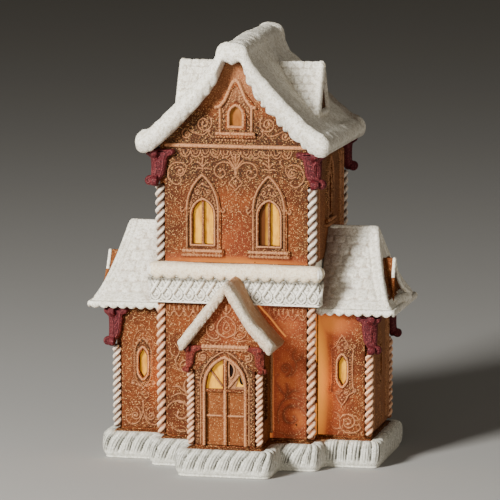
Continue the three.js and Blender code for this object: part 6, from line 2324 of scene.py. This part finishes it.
                # ropes beside the glowing walls get the warmed copy: painted glow
                out_of_glow = name == "tower" or (name == "wing" and x < 0)
                finish = self.paint.rope if out_of_glow else self.paint.glow_warmed_rope
                build(f"{name}_twist_{corner}", rope.skin(), finish, [f"{name}_rope_{corner}"])
        brackets = {"tower": (tower, 212.4, 19.0, 22.0, 9.0), "wing": (wing, 101.6, 16.0, 23.6, 8.0),
                    "porch": (porch, 86.2, 12.4, 15.6, 5.0)}
        quarters = {"front_right": 0, "back_right": 1, "back_left": 2, "front_left": 3}
        for name, (places, top, reach, drop, past) in brackets.items():
            for x, y in places:
                corner = self.corner(x, y)
                scroll = ScrollBracket(x, y, top, reach, drop, past, quarters[corner])
                finish = self.paint.porch_bracket if name == "porch" else self.paint.bracket
                build(f"{name}_scroll_{corner}", scroll.skin(), finish,
                      [f"{name}_bracket_{corner}"])

    def corner(self, x: float, y: float) -> str:
        """A corner's name in node names."""
        return f"{'front' if y < HOUSE.depth / 2 - 3 else 'back'}_{'left' if x < 0 else 'right'}"


@dataclass
class Studio:
    """The floor, the lights and the camera."""

    azimuth: float = 12.5
    elevation: float = 8.0
    distance: float = 2600.0
    aim: Place = (9.08, -33.98, 146.8)
    lens: float = 280.7

    def floor(self, material: bpy.types.Material) -> None:
        """A large plain floor."""
        mesh = bpy.data.meshes.new("studio_floor")
        corners = [(-6.0, -6.0, 0.0), (6.0, -6.0, 0.0), (6.0, 6.0, 0.0), (-6.0, 6.0, 0.0)]
        mesh.from_pydata(corners, [], [(0, 1, 2, 3)])
        mesh.materials.append(material)
        floor = bpy.data.objects.new("studio_floor", mesh)
        bpy.context.scene.collection.objects.link(floor)

    def light(self, name: str, place: Place, aim: Place, size: float, power: float,
              colour: Colour = (1.0, 1.0, 1.0)) -> bpy.types.Object:
        """An area light at a place in mm, turned to a point."""
        data = bpy.data.lights.new(name, "AREA")
        data.energy, data.size, data.color = power, size * MM, colour
        lamp = bpy.data.objects.new(name, data)
        lamp.location = Vector(place) * MM
        lamp.rotation_euler = (Vector(aim) - Vector(place)).to_track_quat("-Z", "Y").to_euler()
        bpy.context.scene.collection.objects.link(lamp)
        return lamp

    def lights(self) -> None:
        """The soft key from the front left, a fill, and the glow of the side panes."""
        self.light("key", (-740.0, -1680.0, 870.0), (0.0, 0.0, 140.0), 420.0, 100.0, (1.0, 0.98, 0.93))
        self.light("side", (1700.0, -900.0, 300.0), (0.0, 0.0, 140.0), 700.0, 6.0, (1.0, 0.88, 0.74))
        self.light("front", (100.0, -2300.0, 300.0), (0.0, 0.0, 140.0), 900.0, 9.0, (1.0, 0.94, 0.83))
        self.light("rim", (900.0, 900.0, 1200.0), (0.0, 0.0, 180.0), 900.0, 1.0)
        for side in Side:
            x, y, z = side.value * 53.0, 10.5 + HOUSE.front_y, 58.0
            lamp = self.light(f"block_glow_{side.word}", (x, y, z), (x + side.value, y + 0.25, z), 3.0, 0.006,
                              (1.0, 0.50, 0.14))
            lamp.data.shape, lamp.data.size_y = "RECTANGLE", 26.0 * MM
            lamp.visible_camera = False
        world = bpy.data.worlds.new("studio_world")
        world.use_nodes = True
        background = world.node_tree.nodes["Background"]
        background.inputs["Color"].default_value = (0.86, 0.76, 0.60, 1.0)
        background.inputs["Strength"].default_value = 0.08
        bpy.context.scene.world = world

    def camera(self) -> None:
        """The camera, looking at its aim from the given direction."""
        a, e = math.radians(self.azimuth), math.radians(self.elevation)
        back = Vector((math.sin(a) * math.cos(e), -math.cos(a) * math.cos(e), math.sin(e)))
        data = bpy.data.cameras.new("camera")
        data.lens, data.sensor_width = self.lens, 36.0
        data.clip_end = 20.0
        view = bpy.data.objects.new("camera", data)
        view.location = (Vector(self.aim) + back * self.distance) * MM
        view.rotation_euler = (-back).to_track_quat("-Z", "Y").to_euler()
        bpy.context.scene.collection.objects.link(view)
        bpy.context.scene.camera = view


def main() -> None:
    """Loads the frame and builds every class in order."""
    logging.basicConfig(level=logging.INFO, format="%(name)s: %(message)s")
    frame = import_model()
    paint = Palette()
    house = GingerbreadHouse(frame["nodes"], paint)
    house.dress()
    house.walls()
    house.roofs()
    house.trim()
    studio = Studio()
    studio.floor(paint.floor)
    studio.lights()
    studio.camera()


if __name__ == "__main__":
    main()
